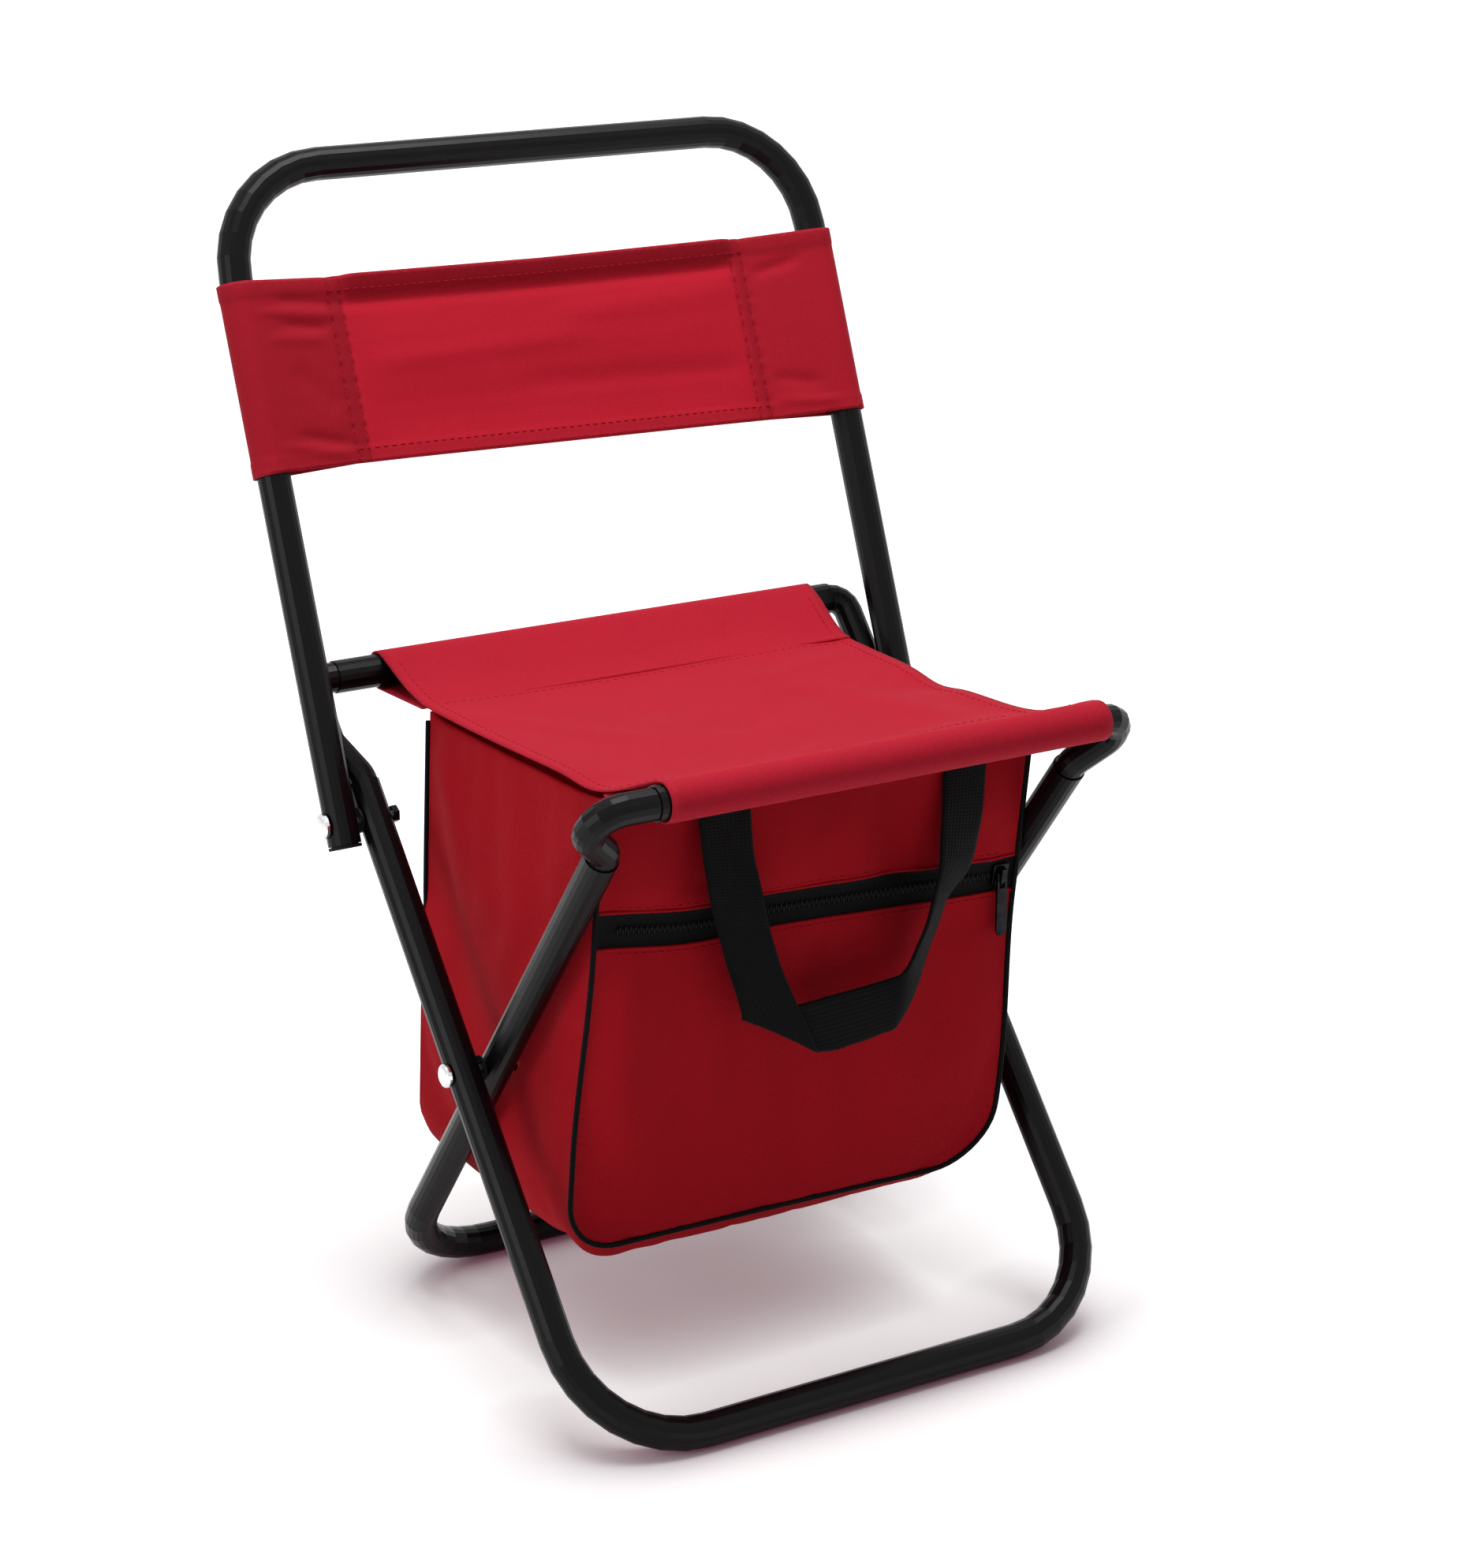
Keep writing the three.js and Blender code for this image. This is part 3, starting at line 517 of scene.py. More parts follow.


# The band's copy of the red cloth is painted lighter, painted light; the bag's copy is painted darker,
# painted shade, with less sheen and shine
RED = cloth_material("red_polyester", rgb(0.43, 0.0074, 0.021), rgb(0.56, 0.0115, 0.034),
                     rgb(0.60, 0.030, 0.058), 0.07, 0.12)
RED_BAG_PAINTED_SHADE = cloth_material("red_polyester_bag_painted_shade", rgb(0.39, 0.0062, 0.0125), rgb(0.51, 0.0095, 0.0200),
                         rgb(0.53, 0.020, 0.034), 0.0, 0.06)
RED_BAND_PAINTED_LIGHT = cloth_material("red_polyester_band_painted_light", rgb(0.49, 0.0085, 0.022), rgb(0.62, 0.013, 0.036),
                          rgb(0.63, 0.030, 0.055), 0.07, 0.12)
WEBBING = webbing_material("black_webbing", rgb(0.0020, 0.0018, 0.0021), rgb(0.0048, 0.0043, 0.0050), 0.0024)
TAPE = webbing_material("zip_tape", rgb(0.0024, 0.0021, 0.0023), rgb(0.0052, 0.0046, 0.0050), 0.0012)
PAINT = paint_material("black_powder_coat", rgb(0.0030, 0.0024, 0.0031), rgb(0.012, 0.0105, 0.012))
CHROME = metal_material("bright_plating", rgb(0.66, 0.66, 0.68), rgb(0.80, 0.80, 0.82), 0.10, 0.26)
DARK_STEEL = metal_material("dark_plating", rgb(0.007, 0.007, 0.008), rgb(0.020, 0.020, 0.022), 0.24, 0.42)
PLASTIC = plastic_material("black_plastic", rgb(0.0035, 0.0033, 0.0036), rgb(0.0068, 0.0064, 0.0069))
RED_THREAD = thread_material("red_thread", rgb(0.39, 0.0068, 0.018), rgb(0.50, 0.0100, 0.028))


def dress(obj, slot, *materials):
    for material in materials:
        obj.data.materials.append(material)


def cloth_sheet(name, points, uv, wear, thickness, slot, material, closed=False):
    """Cloth through points[rows, columns]; closed joins the last row to the first."""
    rows, columns = points.shape[:2]
    index = np.arange(rows * columns).reshape(rows, columns)
    if closed:
        index = np.vstack([index, index[:1]])
    cloth = new_object(name, points.reshape(-1, 3), grid_faces(index), corner_uvs(uv))
    set_shade(cloth, WEAR_NAME, wear)
    solid = cloth.modifiers.new("thickness", "SOLIDIFY")
    solid.thickness = thickness
    solid.offset = 0.0
    solid.use_even_offset = False
    dress(cloth, slot, material)
    return cloth


CAPSULE_SIDES = 6
CAPSULE_PROFILE = [(-0.5, 0.25), (-0.36, 0.8), (0.0, 1.0), (0.36, 0.8), (0.5, 0.25)]


def capsules(name, items, length, radius):
    """Small rounded rods in one mesh. An item is (centre, direction, outward direction)."""
    ring = np.linspace(0.0, 2 * math.pi, CAPSULE_SIDES, endpoint=False)
    index = np.arange(len(CAPSULE_PROFILE) * CAPSULE_SIDES).reshape(-1, CAPSULE_SIDES)
    skin = [*grid_faces(np.hstack([index, index[:, :1]])), index[0][::-1], index[-1]]
    vertices, faces = [], []
    for centre, tangent, lift in items:
        tangent = tangent / np.linalg.norm(tangent)
        lift = lift - tangent * lift.dot(tangent)
        lift = lift / np.linalg.norm(lift)
        side = np.cross(tangent, lift)
        first = len(vertices)
        for shift, share in CAPSULE_PROFILE:
            middle = centre + tangent * shift * length + lift * radius * 0.6 * (share - 0.4)
            for angle in ring:
                spoke = math.cos(angle) * side + math.sin(angle) * lift
                vertices.append(middle + share * radius * spoke)
        faces += [first + face for face in skin]
    return new_object(name, vertices, faces)


def at_length(line, along, at):
    return np.array([np.interp(at, along, line[:, k]) for k in range(3)])


def stitches(name, rows, length=0.0030, gap=0.0016, radius=0.00034):
    """Rows of separate stitches in red thread. A row is (line, outward normals)."""
    items = []
    for line, normals in rows:
        along = run_lengths(line)
        count = int(along[-1] / (length + gap))
        for at in (np.arange(count) + 0.5) * along[-1] / count:
            tangent = at_length(line, along, at + 0.001) - at_length(line, along, at - 0.001)
            items.append((at_length(line, along, at), tangent, at_length(normals, along, at)))
    made = capsules(name, items, length, radius)
    dress(made, "red_cloth", RED_THREAD)
    return made


def normals_of(points):
    """Unit normals of points[rows, columns], from the directions along the two ways."""
    down = np.gradient(points, axis=0)
    across = np.gradient(points, axis=1)
    normal = np.cross(across, down)
    return normal / np.linalg.norm(normal, axis=2)[..., None]


# Seat

def rail_axis(node):
    low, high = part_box(node)
    return ((low[1] + high[1]) / 2, (low[2] + high[2]) / 2)


def off_rail(rail, shift):
    return (rail[0] + shift[0], rail[1] + SLEEVE_RADIUS + shift[1])


FRONT_RAIL = rail_axis("front_seat_rail")
REAR_RAIL = rail_axis("rear_seat_rail")
SEAT_TOP = spline([off_rail(FRONT_RAIL, SEAT_OFF_FRONT), *SEAT_DIP, off_rail(REAR_RAIL, SEAT_OFF_REAR)], 64)


def seat_height(y):
    return np.interp(y, SEAT_TOP[:, 0], SEAT_TOP[:, 1])


def edge_x(edge, y, **beyond):
    line = spline(edge, 60)
    return np.interp(y, line[:, 0], line[:, 1], **beyond)


def side_rise(edge, y):
    return edge_x(edge, y, left=0.0, right=0.0)


def seat_path():
    """(y, z) from the front seam round the front rail, over the seat and round the rear rail."""
    front = arc(FRONT_RAIL, SLEEVE_RADIUS, *FRONT_WRAP, 20)
    rear = arc(REAR_RAIL, SLEEVE_RADIUS, *REAR_WRAP, 20)
    front_seam, rear_seam = ((y, seat_height(y) - SEAT_UNDER) for y in (SEAT_FRONT_SEAM, SEAT_REAR_SEAM))
    top = SEAT_TOP[1:-1]
    before = np.linspace(front_seam, front[0], 10)[:-1]
    after = np.linspace(rear[-1], rear_seam, 12)[1:]
    path = [before, front, top, rear, after]
    over = [np.full(len(part), float(part is top)) for part in path]
    return np.vstack(path), np.concatenate(over)


SEAT_RIDGES = [
    (-116, 56, 10, 58, 4.5, -0.2),
    (-100, -128, -30, -20, 11, 1),
    (-112, 30, -55, -50, 9, 0.9),
    (-60, -135, 30, -105, 10, 0.9),
    (20, -130, 110, -118, 8, 1),
    (100, -110, 60, 0, 12, 1),
    (114, 30, 50, 10, 9, 0.8),
    (-50, 80, 80, 86, 7, 0.8),
    (-10, -60, 60, -20, 14, -0.9),
]


def seat_sling():
    path, over = seat_path()
    along = run_lengths(path)
    u = np.linspace(0.0, 1.0, SEAT_COLUMNS)
    y = spread(path[:, 0], SEAT_COLUMNS)
    z = spread(path[:, 1], SEAT_COLUMNS)
    left = edge_x(SEAT_LEFT, path[:, 0])[:, None]
    right = edge_x(SEAT_RIGHT, path[:, 0])[:, None]
    x = left + (right - left) * u
    behind = smoothstep((path[:, 0] - FRONT_RAIL[0]) / RAIL_FADE)
    before = smoothstep((REAR_RAIL[0] - path[:, 0]) / RAIL_FADE)
    open_top = (over * (behind * before))[:, None]
    dish = SEAT_DISH * (1 - (2 * u - 1) ** 2)[None, :] * open_top
    edge_gap = np.minimum(x - left, right - x)
    hem = hem_rise(edge_gap, SEAT_HEM, SEAT_HEM_RISE, SEAT_HEM_STEP) * over[:, None]
    rise = (side_rise(SEAT_LEFT_RISE, y) * smoothstep(1 - (x - left) / SEAT_EDGE_REACH)
            + side_rise(SEAT_RIGHT_RISE, y) * smoothstep(1 - (right - x) / SEAT_EDGE_REACH))
    z = z - dish + rise * over[:, None] + hem + folds(x, y, SEAT_RIDGES) * open_top
    points = np.stack([x, y, z], axis=-1)
    uv = np.stack([x, spread(along, SEAT_COLUMNS)], axis=-1)
    wear = bell(edge_gap, SEAT_WEAR) + SLEEVE_WEAR * (1 - over[:, None])
    seat = cloth_sheet("seat_sling", points, uv, wear, CLOTH_THICKNESS, "red_cloth", RED)
    return seat, points, along


def sample_columns(table, positions):
    """One value per row of table, between its columns."""
    low = np.clip(np.floor(positions).astype(int), 0, table.shape[1] - 2)
    share = (positions - low)[:, None]
    rows = np.arange(len(table))
    return table[rows, low] * (1 - share) + table[rows, low + 1] * share


def seat_stitching(points):
    """Rows along both hems and across the seat over the bag's two seams."""
    middle = points.shape[1] // 2
    y, z = points[:, middle, 1], points[:, middle, 2]
    on_top = (y > FRONT_RAIL[0] + 0.012) & (y < REAR_RAIL[0] - 0.010) & (z > seat_height(y) - 0.0052)
    up = normals_of(points)[on_top]
    up *= np.sign(up[..., 2:])
    top = points[on_top] + up * CLOTH_THICKNESS / 2
    rows = []
    last = points.shape[1] - 1
    spacing = np.linalg.norm(top[:, -1] - top[:, 0], axis=1) / last
    for positions in (SEAT_HEM_ROW / spacing, last - SEAT_HEM_ROW / spacing):
        rows.append((sample_columns(top, positions), sample_columns(up, positions)))
    for seam in (SEAT_REAR_SEAM - 0.005, SEAT_FRONT_SEAM + 0.004):
        k = int(np.argmin(np.abs(top[:, middle, 1] - seam)))
        rows.append((top[k, 2:-2] - up[k, 2:-2] * 0.0001, up[k, 2:-2]))
    return stitches("seat_stitches", rows)


def bend_with_seat(obj):
    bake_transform(obj)


def add_seat():
    seat, points, along = seat_sling()
    threads = seat_stitching(points)
    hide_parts("seat_cloth")
    bend_with_seat(seat)
    bend_with_seat(threads)


# Backrest band

def back_place(x, along, forward):
    s, c = math.sin(BACK_LEAN), math.cos(BACK_LEAN)
    y = BACK_PIVOT.y + s * along - c * forward
    z = BACK_PIVOT.z + c * along + s * forward
    return np.stack([x, y, z], axis=-1)


SEAM_RUN = np.linspace(0.110, BAND_SEAM, 17)
BAND_FRONT_X = np.concatenate([-SEAM_RUN[::-1], np.linspace(-0.110, 0.110, 55)[1:-1], SEAM_RUN])


def band_loop():
    """(x, forward) round both tubes, from the left seam across the front."""
    flat = 0.0010
    lean = math.degrees(math.asin((SLEEVE_RADIUS - flat) / (BACK_HALF_WIDTH - BAND_SEAM)))
    right = arc((BACK_HALF_WIDTH, 0.0), SLEEVE_RADIUS, 90 + lean, -90 - lean, 24)
    left = arc((-BACK_HALF_WIDTH, 0.0), SLEEVE_RADIUS, 270 + lean, 90 - lean, 24)
    front = np.column_stack([BAND_FRONT_X, np.full(len(BAND_FRONT_X), flat)])
    back = front[::-1] * np.array([1.0, -1.0])
    loop = []
    for part, after in ((front, right), (right, back), (back, left), (left, front)):
        loop += [part, np.linspace(part[-1], after[0], 14)[1:-1]]
    return np.vstack(loop)


# Height of the cloth's middle over its width, and of the rolled hem at its top edge
BAND_PROFILE = [(0.0, 0.0012), (0.06, 0.0008), (0.12, 0.0002), (0.20, -0.0004), (0.30, -0.0005),
                (0.42, 0.0002), (0.54, 0.0006), (0.66, 0.0005), (0.80, -0.0004), (1.0, -0.0006)]
BAND_TOP_ROLL = [(0.0, 0.0), (0.80, 0.0), (0.86, -0.0014), (0.93, 0.0022), (1.0, 0.0052)]
BAND_RIDGES = [
    (-166, 90, -118, 86, 3.2, -1.3),
    (-164, 83, -124, 80, 2.8, 0.9),
    (-162, 77, -126, 73, 3.2, -1.2),
    (-160, 69, -130, 67, 3, 0.8),
    (-150, 52, -128, 30, 6, -1),
    (-166, 20, -126, 11, 3, -1.4),
    (-164, 13, -128, 5, 2.4, 1),
    (128, 80, 158, 86, 3.4, -1.4),
    (130, 22, 160, 15, 3.4, -1.2),
    (128, 10, 160, 6, 2.4, 1),
    (-100, 52, 20, 58, 6.5, 0.8),
    (-20, 34, 110, 30, 6, -0.7),
    (10, 70, 112, 74, 6.5, 0.8),
]


def seam_grooves(x, high):
    """Depth of the puckered grooves along the sleeves' stitching."""
    depth = np.zeros_like(x)
    for row in BAND_ROWS:
        depth += bell(np.abs(x) - row, GROOVE_WIDTH)
    return GROOVE_DEPTH * depth * (1 + PUCKER * np.sin(high / PUCKER_RUN))


def band_darkening(x, high):
    """How much darker the band is painted: 1 on the sleeves, their seams and the two hems; at the top hem it
    is painted shade under its roll.
    """
    sleeve = np.where(x < 0, *SLEEVE_SHADES) * smoothstep((np.abs(x) - BAND_ROWS[0] + 0.002) / 0.005)
    seam = SEAM_SHADE * smoothstep((0.006 - np.abs(np.abs(x) - sum(BAND_ROWS) / 2)) / 0.003)
    top_hem_shade = smoothstep((high - BAND_HEIGHT + 0.016) / 0.007)
    low_hem = LOW_HEM_SHADE * smoothstep((0.009 - high) / 0.003)
    return np.maximum(np.maximum(sleeve + seam, top_hem_shade), low_hem)


def along_table(table, at):
    return np.interp(at, *np.array(table).T)


def backrest_sleeve():
    loop = band_loop()
    around = run_lengths(np.vstack([loop, loop[:1]]))
    share = np.linspace(0.0, 1.0, BAND_COLUMNS)[None, :]
    x = spread(loop[:, 0], BAND_COLUMNS)
    forward = spread(loop[:, 1], BAND_COLUMNS)
    tangent = np.roll(loop, -1, axis=0) - np.roll(loop, 1, axis=0)
    outward = np.stack([-tangent[:, 1], tangent[:, 0]], axis=1)
    outward /= np.linalg.norm(outward, axis=1)[:, None]
    high = share * BAND_HEIGHT + np.zeros_like(x)
    edge_gap = np.minimum(high, BAND_HEIGHT - high)
    hem = hem_rise(edge_gap, BAND_HEM, BAND_HEM_RISE, BAND_HEM_STEP)
    inside = BAND_SEAM - np.abs(x)
    sag = BAND_SAG * along_table(BAND_PROFILE, share) * smoothstep(inside / BAND_SAG_FADE)
    roll = along_table(BAND_TOP_ROLL, share) * smoothstep(inside / BAND_ROLL_FADE)
    in_front = forward > 0
    ridge = folds(x, high, BAND_RIDGES) * np.where(in_front, 1.0, BACK_RIDGES)
    clear = smoothstep((BACK_HALF_WIDTH - TUBE_REACH - np.abs(x)) / 0.010)
    out = hem + np.maximum(ridge, 0.0) * (1 - clear) - seam_grooves(x, high) * in_front
    along = BAND_LOW + high + (1 - share) * along_table(BAND_LOW_EDGE, x)
    along = along + share * along_table(BAND_TOP_EDGE, x)
    forward = forward + outward[:, 1:] * out + sag + roll + ridge * clear
    points = back_place(x + outward[:, :1] * out, along, forward)
    wrapped = np.vstack([points, points[:1]])
    uv = np.stack([spread(around, BAND_COLUMNS), np.vstack([high, high[:1]])], axis=-1)
    wear = bell(edge_gap, BAND_WEAR)
    band = cloth_sheet("backrest_sleeve", points, uv, wear, CLOTH_THICKNESS, "red_cloth", RED_BAND_PAINTED_LIGHT,
                       closed=True)
    # Darker sleeves, seams and lower hem, and painted shade under the rolled top hem
    set_shade(band, DARKENING_NAME, band_darkening(x, high))
    return band, wrapped, around


def band_stitching(points):
    """Rows down both sleeve seams and along the two hems, on the front layer."""
    normal = normals_of(points)
    front = slice(0, len(BAND_FRONT_X))
    sheet, out = points[front], normal[front]
    out = out * np.sign(-out[..., 1:2])
    sheet = sheet + out * 0.0006
    last = points.shape[1] - 1
    hem = BAND_HEM_ROW / BAND_HEIGHT * last
    rows = []
    for row in BAND_ROWS:
        for at in (-row, row):
            k = int(np.argmin(np.abs(BAND_FRONT_X - at)))
            rows.append((sheet[k], out[k]))
    for position in (hem, last - hem):
        at = np.full(len(sheet), position)
        rows.append((sample_columns(sheet, at), sample_columns(out, at)))
    return stitches("band_stitches", rows)


def add_band():
    band, points, around = backrest_sleeve()
    threads = band_stitching(points)
    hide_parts("backrest_band")
    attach(band, "backrest")
    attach(threads, "backrest")


# Cooler bag

BAG_COLUMNS = 45
BAG_DEPTH_STEPS = 30
ZIP_TOP = ZIP_CENTRE + ZIP_HALF_HEIGHT
ZIP_BOTTOM = ZIP_CENTRE - ZIP_HALF_HEIGHT
CORNER_Z = BAG_BOTTOM + BAG_CORNER
UPPER_ROWS, ZIP_ROWS, LOWER_ROWS, CORNER_ROWS = 12, 8, 18, 10


def bag_rows():
    turn = np.radians(np.linspace(0.0, 90.0, CORNER_ROWS + 1))[1:]
    return np.concatenate([
        np.linspace(BAG_TOP_Z, ZIP_TOP, UPPER_ROWS + 1),
        np.linspace(ZIP_TOP, ZIP_BOTTOM, ZIP_ROWS + 1)[1:],
        np.linspace(ZIP_BOTTOM, CORNER_Z, LOWER_ROWS + 1)[1:],
        BAG_BOTTOM + BAG_CORNER * (1 - np.sin(turn)),
    ])


def bag_edge(side, z):
    """Distance of the left or right edge from the bag's middle, where the lower corners are rounded."""
    corner = np.where(side < 0, BAG_LEFT_CORNER, BAG_CORNER)
    drop = np.clip(BAG_BOTTOM + corner - z, 0.0, corner)
    lean = np.where(side < 0, 0.0, BAG_RIGHT_LEAN * (z - LEAN_FROM))
    return BAG_HALF_WIDTH + lean - corner + np.sqrt(corner**2 - drop**2)


def bag_top(y):
    return seat_height(y) - BAG_TOP_GAP


def top_share(z):
    """1 at the bag's upper edge, 0 from the zip down."""
    return np.clip((z - ZIP_TOP) / (BAG_TOP_Z - ZIP_TOP), 0.0, 1.0)


FRONT_RIDGES = [
    (-98, 306, -92, 262, 12, 3),
    (-68, 306, -66, 262, 10, -2.4),
    (-12, 306, -18, 258, 16, 3),
    (40, 306, 50, 252, 13, -4.2),
    (106, 302, 107, 250, 10, 2.2),
    (-104, 225, -96, 120, 10, 2.6),
    (-74, 215, -60, 125, 12, -1.6),
    (-20, 170, 20, 115, 22, -2.2),
    (52, 222, 60, 125, 14, 2.6),
    (88, 215, 82, 130, 16, 2),
    (0, 224, 36, 200, 13, -3.4),
]
SIDE_RIDGES = [
    (-112, 300, 20, 215, 12, 2.2),
    (-100, 276, -30, 200, 10, -1.8),
    (46, 300, -10, 230, 12, 1.6),
    (-88, 215, -84, 120, 10, 2.2),
    (-60, 200, -58, 120, 10, -1.6),
    (36, 210, 50, 125, 12, 1.8),
    (-30, 150, 10, 120, 12, -1.2),
]


def front_twist(x, z):
    """The lower front swings round: its left side back and its right side forward."""
    return -BAG_TWIST * smoothstep((ZIP_BOTTOM - z) / TWIST_REACH) * x / BAG_HALF_WIDTH


def zip_sag(x):
    return ZIP_DIP * bell(x - ZIP_DIP_X, ZIP_DIP_WIDTH) + ZIP_BOW * (1 - (x / BAG_HALF_WIDTH) ** 4)


def bulge_below(top, z):
    """0 at the given height and at the bag's bottom, 1 halfway."""
    return np.sin(np.clip((top - z) / (top - BAG_BOTTOM), 0, 1) * math.pi)


def bag_panel(front):
    """Points of the front or back panel, row by row from the top, left to right."""
    z = spread(bag_rows(), BAG_COLUMNS)
    across = np.linspace(-1.0, 1.0, BAG_COLUMNS)[None, :] + np.zeros_like(z)
    x = across * bag_edge(across, z)
    if front:
        y = BAG_FRONT_Y + BAG_FRONT_SLOPE * (BAG_TOP_Z - z) + front_twist(x, z)
        below = np.clip((z - CORNER_Z) / (ZIP_BOTTOM - CORNER_Z), 0.0, 1.0)
        slant = (ZIP_SLOPE * x + zip_sag(x)) * np.minimum(below, 1 - top_share(z))
        low = smoothstep((CORNER_Z - z) / BAG_CORNER)
        slant = slant - low * (LOW_TILT * x / BAG_HALF_WIDTH + LOW_BOW * (1 - (x / BAG_HALF_WIDTH) ** 2))
    else:
        y = BAG_BACK_Y + BAG_BACK_SLOPE * (BAG_TOP_Z - z)
        x = x - BACK_SWELL * smoothstep((SWELL_TOP - z) / SWELL_FADE) * smoothstep(-x / 0.10)
        slant = np.zeros_like(x)
    edge_y = BAG_FRONT_Y if front else BAG_BACK_Y
    level = z + (bag_top(edge_y) - BAG_TOP_Z) * top_share(z) - slant
    inset = np.minimum(z - BAG_BOTTOM, bag_edge(across, z) - np.abs(x))
    loose = smoothstep(inset / SEAM_HOLD)
    if front:
        in_zip = (np.abs(z - ZIP_CENTRE) < ZIP_HALF_HEIGHT * 0.99) * smoothstep(inset / 0.004)
        y = y - folds(x, z, FRONT_RIDGES) * loose + TAPE_DEPTH * in_zip
        y = y - FRONT_BULGE * loose * bulge_below(ZIP_BOTTOM, z)
    else:
        y = y + BACK_BULGE * loose * bulge_below(BAG_TOP_Z, z)
    return np.stack([x + BAG_SHIFT, y, level], axis=-1)


def around_panel(table):
    """Left edge down, bottom edge across and right edge up, as one run."""
    return np.concatenate([table[:, 0], table[-1, 1:-1], table[::-1, -1]])


def bag_gusset(front, back):
    z_run = around_panel(spread(bag_rows(), BAG_COLUMNS))
    lift = top_share(z_run)
    a, b = around_panel(front), around_panel(back)
    flat_bottom = smoothstep((CORNER_Z - z_run) / BAG_CORNER)
    rings = []
    for share in np.linspace(0.0, 1.0, BAG_DEPTH_STEPS + 1):
        ring = a * (1 - share) + b * share
        here = bag_top(ring[:, 1])
        ring[:, 2] += lift * (here - (bag_top(BAG_FRONT_Y) * (1 - share) + bag_top(BAG_BACK_Y) * share))
        belly = math.sin(math.pi * share)
        hang = BAG_BELLY * (1.15 - 0.5 * ((ring[:, 0] - BELLY_X) / BAG_HALF_WIDTH) ** 2)
        ring[:, 2] -= hang * (1 - (1 - 2 * share) ** BELLY_SQUARE) * flat_bottom
        side = np.sign(ring[:, 0]) * (1 - flat_bottom) * smoothstep(belly / 0.45)
        ring[:, 0] += side * (folds(ring[:, 1], ring[:, 2], SIDE_RIDGES) + 0.0006) * (1 - lift**4)
        rings.append(ring)
    return np.array(rings)


def bag_lid(front, back):
    """Inner rows of the top panel, under the seat."""
    share = np.linspace(0.0, 1.0, BAG_DEPTH_STEPS + 1)[1:-1, None, None]
    lid = (front[0] * (1 - share) + back[0] * share)[:, 1:-1]
    lid[..., 2] = bag_top(lid[..., 1]) - LID_DROP
    return lid


def bag_mesh_parts():
    """Vertices, faces, UVs and material numbers of the whole bag, and the vertex tables of its panels."""
    front, back = bag_panel(True), bag_panel(False)
    gusset = bag_gusset(front, back)
    lid = bag_lid(front, back)
    own = [front, back, gusset[1:-1], lid]
    vertices = np.vstack([points.reshape(-1, 3) for points in own])
    sizes = [points[..., 0].size for points in own]
    index_front, index_back, inner, under = (
        first + np.arange(size).reshape(points.shape[:2])
        for first, size, points in zip(np.cumsum([0, *sizes]), sizes, own)
    )
    index_gusset = np.vstack([around_panel(index_front)[None], inner, around_panel(index_back)[None]])
    index_lid = np.vstack([index_front[:1], np.pad(under, ((0, 0), (1, 1))), index_back[:1]])
    index_lid[:, 0], index_lid[:, -1] = index_gusset[:, 0], index_gusset[:, -1]
    panels = [index_front, index_back[:, ::-1], index_gusset.T, index_lid]
    run = run_lengths(around_panel(front))
    depth = np.linspace(0.0, BAG_BACK_Y - BAG_FRONT_Y, BAG_DEPTH_STEPS + 1)
    patterns = [vertices[panel] for panel in panels]
    patterns = [
        patterns[0][..., [0, 2]], patterns[1][..., [0, 2]],
        np.stack(np.meshgrid(depth, run, indexing="xy"), axis=-1), patterns[3][..., [0, 1]],
    ]
    faces = [grid_faces(p) for p in panels]
    uvs = [corner_uvs(pattern) for pattern in patterns]
    slots = [np.zeros(len(f), int) for f in faces]
    zip_band = np.zeros(np.array(index_front.shape) - 1, int)
    zip_band[UPPER_ROWS:UPPER_ROWS + ZIP_ROWS] = 1
    slots[0] = zip_band.ravel()
    tables = {"front": index_front, "back": index_back, "gusset": index_gusset, "lid": index_lid}
    return vertices, np.vstack(faces), np.vstack(uvs), np.concatenate(slots), tables


CLOTH_RULES = {
    "quality": 6, "mass": 0.12, "tension_stiffness": 25.0, "compression_stiffness": 25.0,
    "shear_stiffness": 12.0, "bending_stiffness": 6.0, "air_damping": 4.0, "shrink_min": -0.006,
    "use_pressure": True, "uniform_pressure_force": 0.6,
}
SETTLE_MOST = 0.0065


def relaxed(obj, held, frames=22):
    """Where the cloth comes to rest when its seams are held and it fills out a little."""
    group = obj.vertex_groups.new(name="held")
    group.add([int(i) for i in held], 1.0, "REPLACE")
    cloth = obj.modifiers.new("cloth", "CLOTH")
    for key, value in CLOTH_RULES.items():
        setattr(cloth.settings, key, value)
    cloth.settings.vertex_group_mass = group.name
    cloth.collision_settings.use_collision = False
    scene = bpy.context.scene
    cloth.point_cache.frame_start = 1
    cloth.point_cache.frame_end = frames
    for k in range(1, frames + 1):
        scene.frame_set(k)
    shown = obj.evaluated_get(bpy.context.evaluated_depsgraph_get())
    found = np.array([v.co for v in shown.data.vertices])
    obj.modifiers.remove(cloth)
    obj.vertex_groups.remove(group)
    scene.frame_set(1)
    return found


def settle_bag(bag, tables):
    start = np.array([v.co for v in bag.data.vertices])
    zip_rows = tables["front"][UPPER_ROWS:UPPER_ROWS + ZIP_ROWS + 1]
    seams = [around_panel(tables[side]) for side in ("front", "back")]
    held = np.unique(np.concatenate([tables["lid"].ravel(), zip_rows.ravel(), *seams]))
    move = relaxed(bag, held) - start
    reach = np.linalg.norm(move, axis=1)[:, None]
    move *= SETTLE_MOST * np.tanh(reach / SETTLE_MOST) / np.maximum(reach, 1e-9)
    moved = start + move
    moved[:, 0] = np.clip(moved[:, 0], -BAG_WIDEST, BAG_WIDEST)
    bag.data.vertices.foreach_set("co", moved.astype(np.float32).ravel())
    bag.data.update()


def fold_with_bag(obj, body="outer_frame"):
    """Carry a piece on its body, with a mesh of its own."""
    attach(obj, body)
    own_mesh(obj)


def seam_distance(points, *lines):
    nearest = np.full(len(points), 1.0)
    for line in lines:
        gaps = np.linalg.norm(points[:, None] - line[None], axis=2).min(axis=1)
        nearest = np.minimum(nearest, gaps)
    return nearest


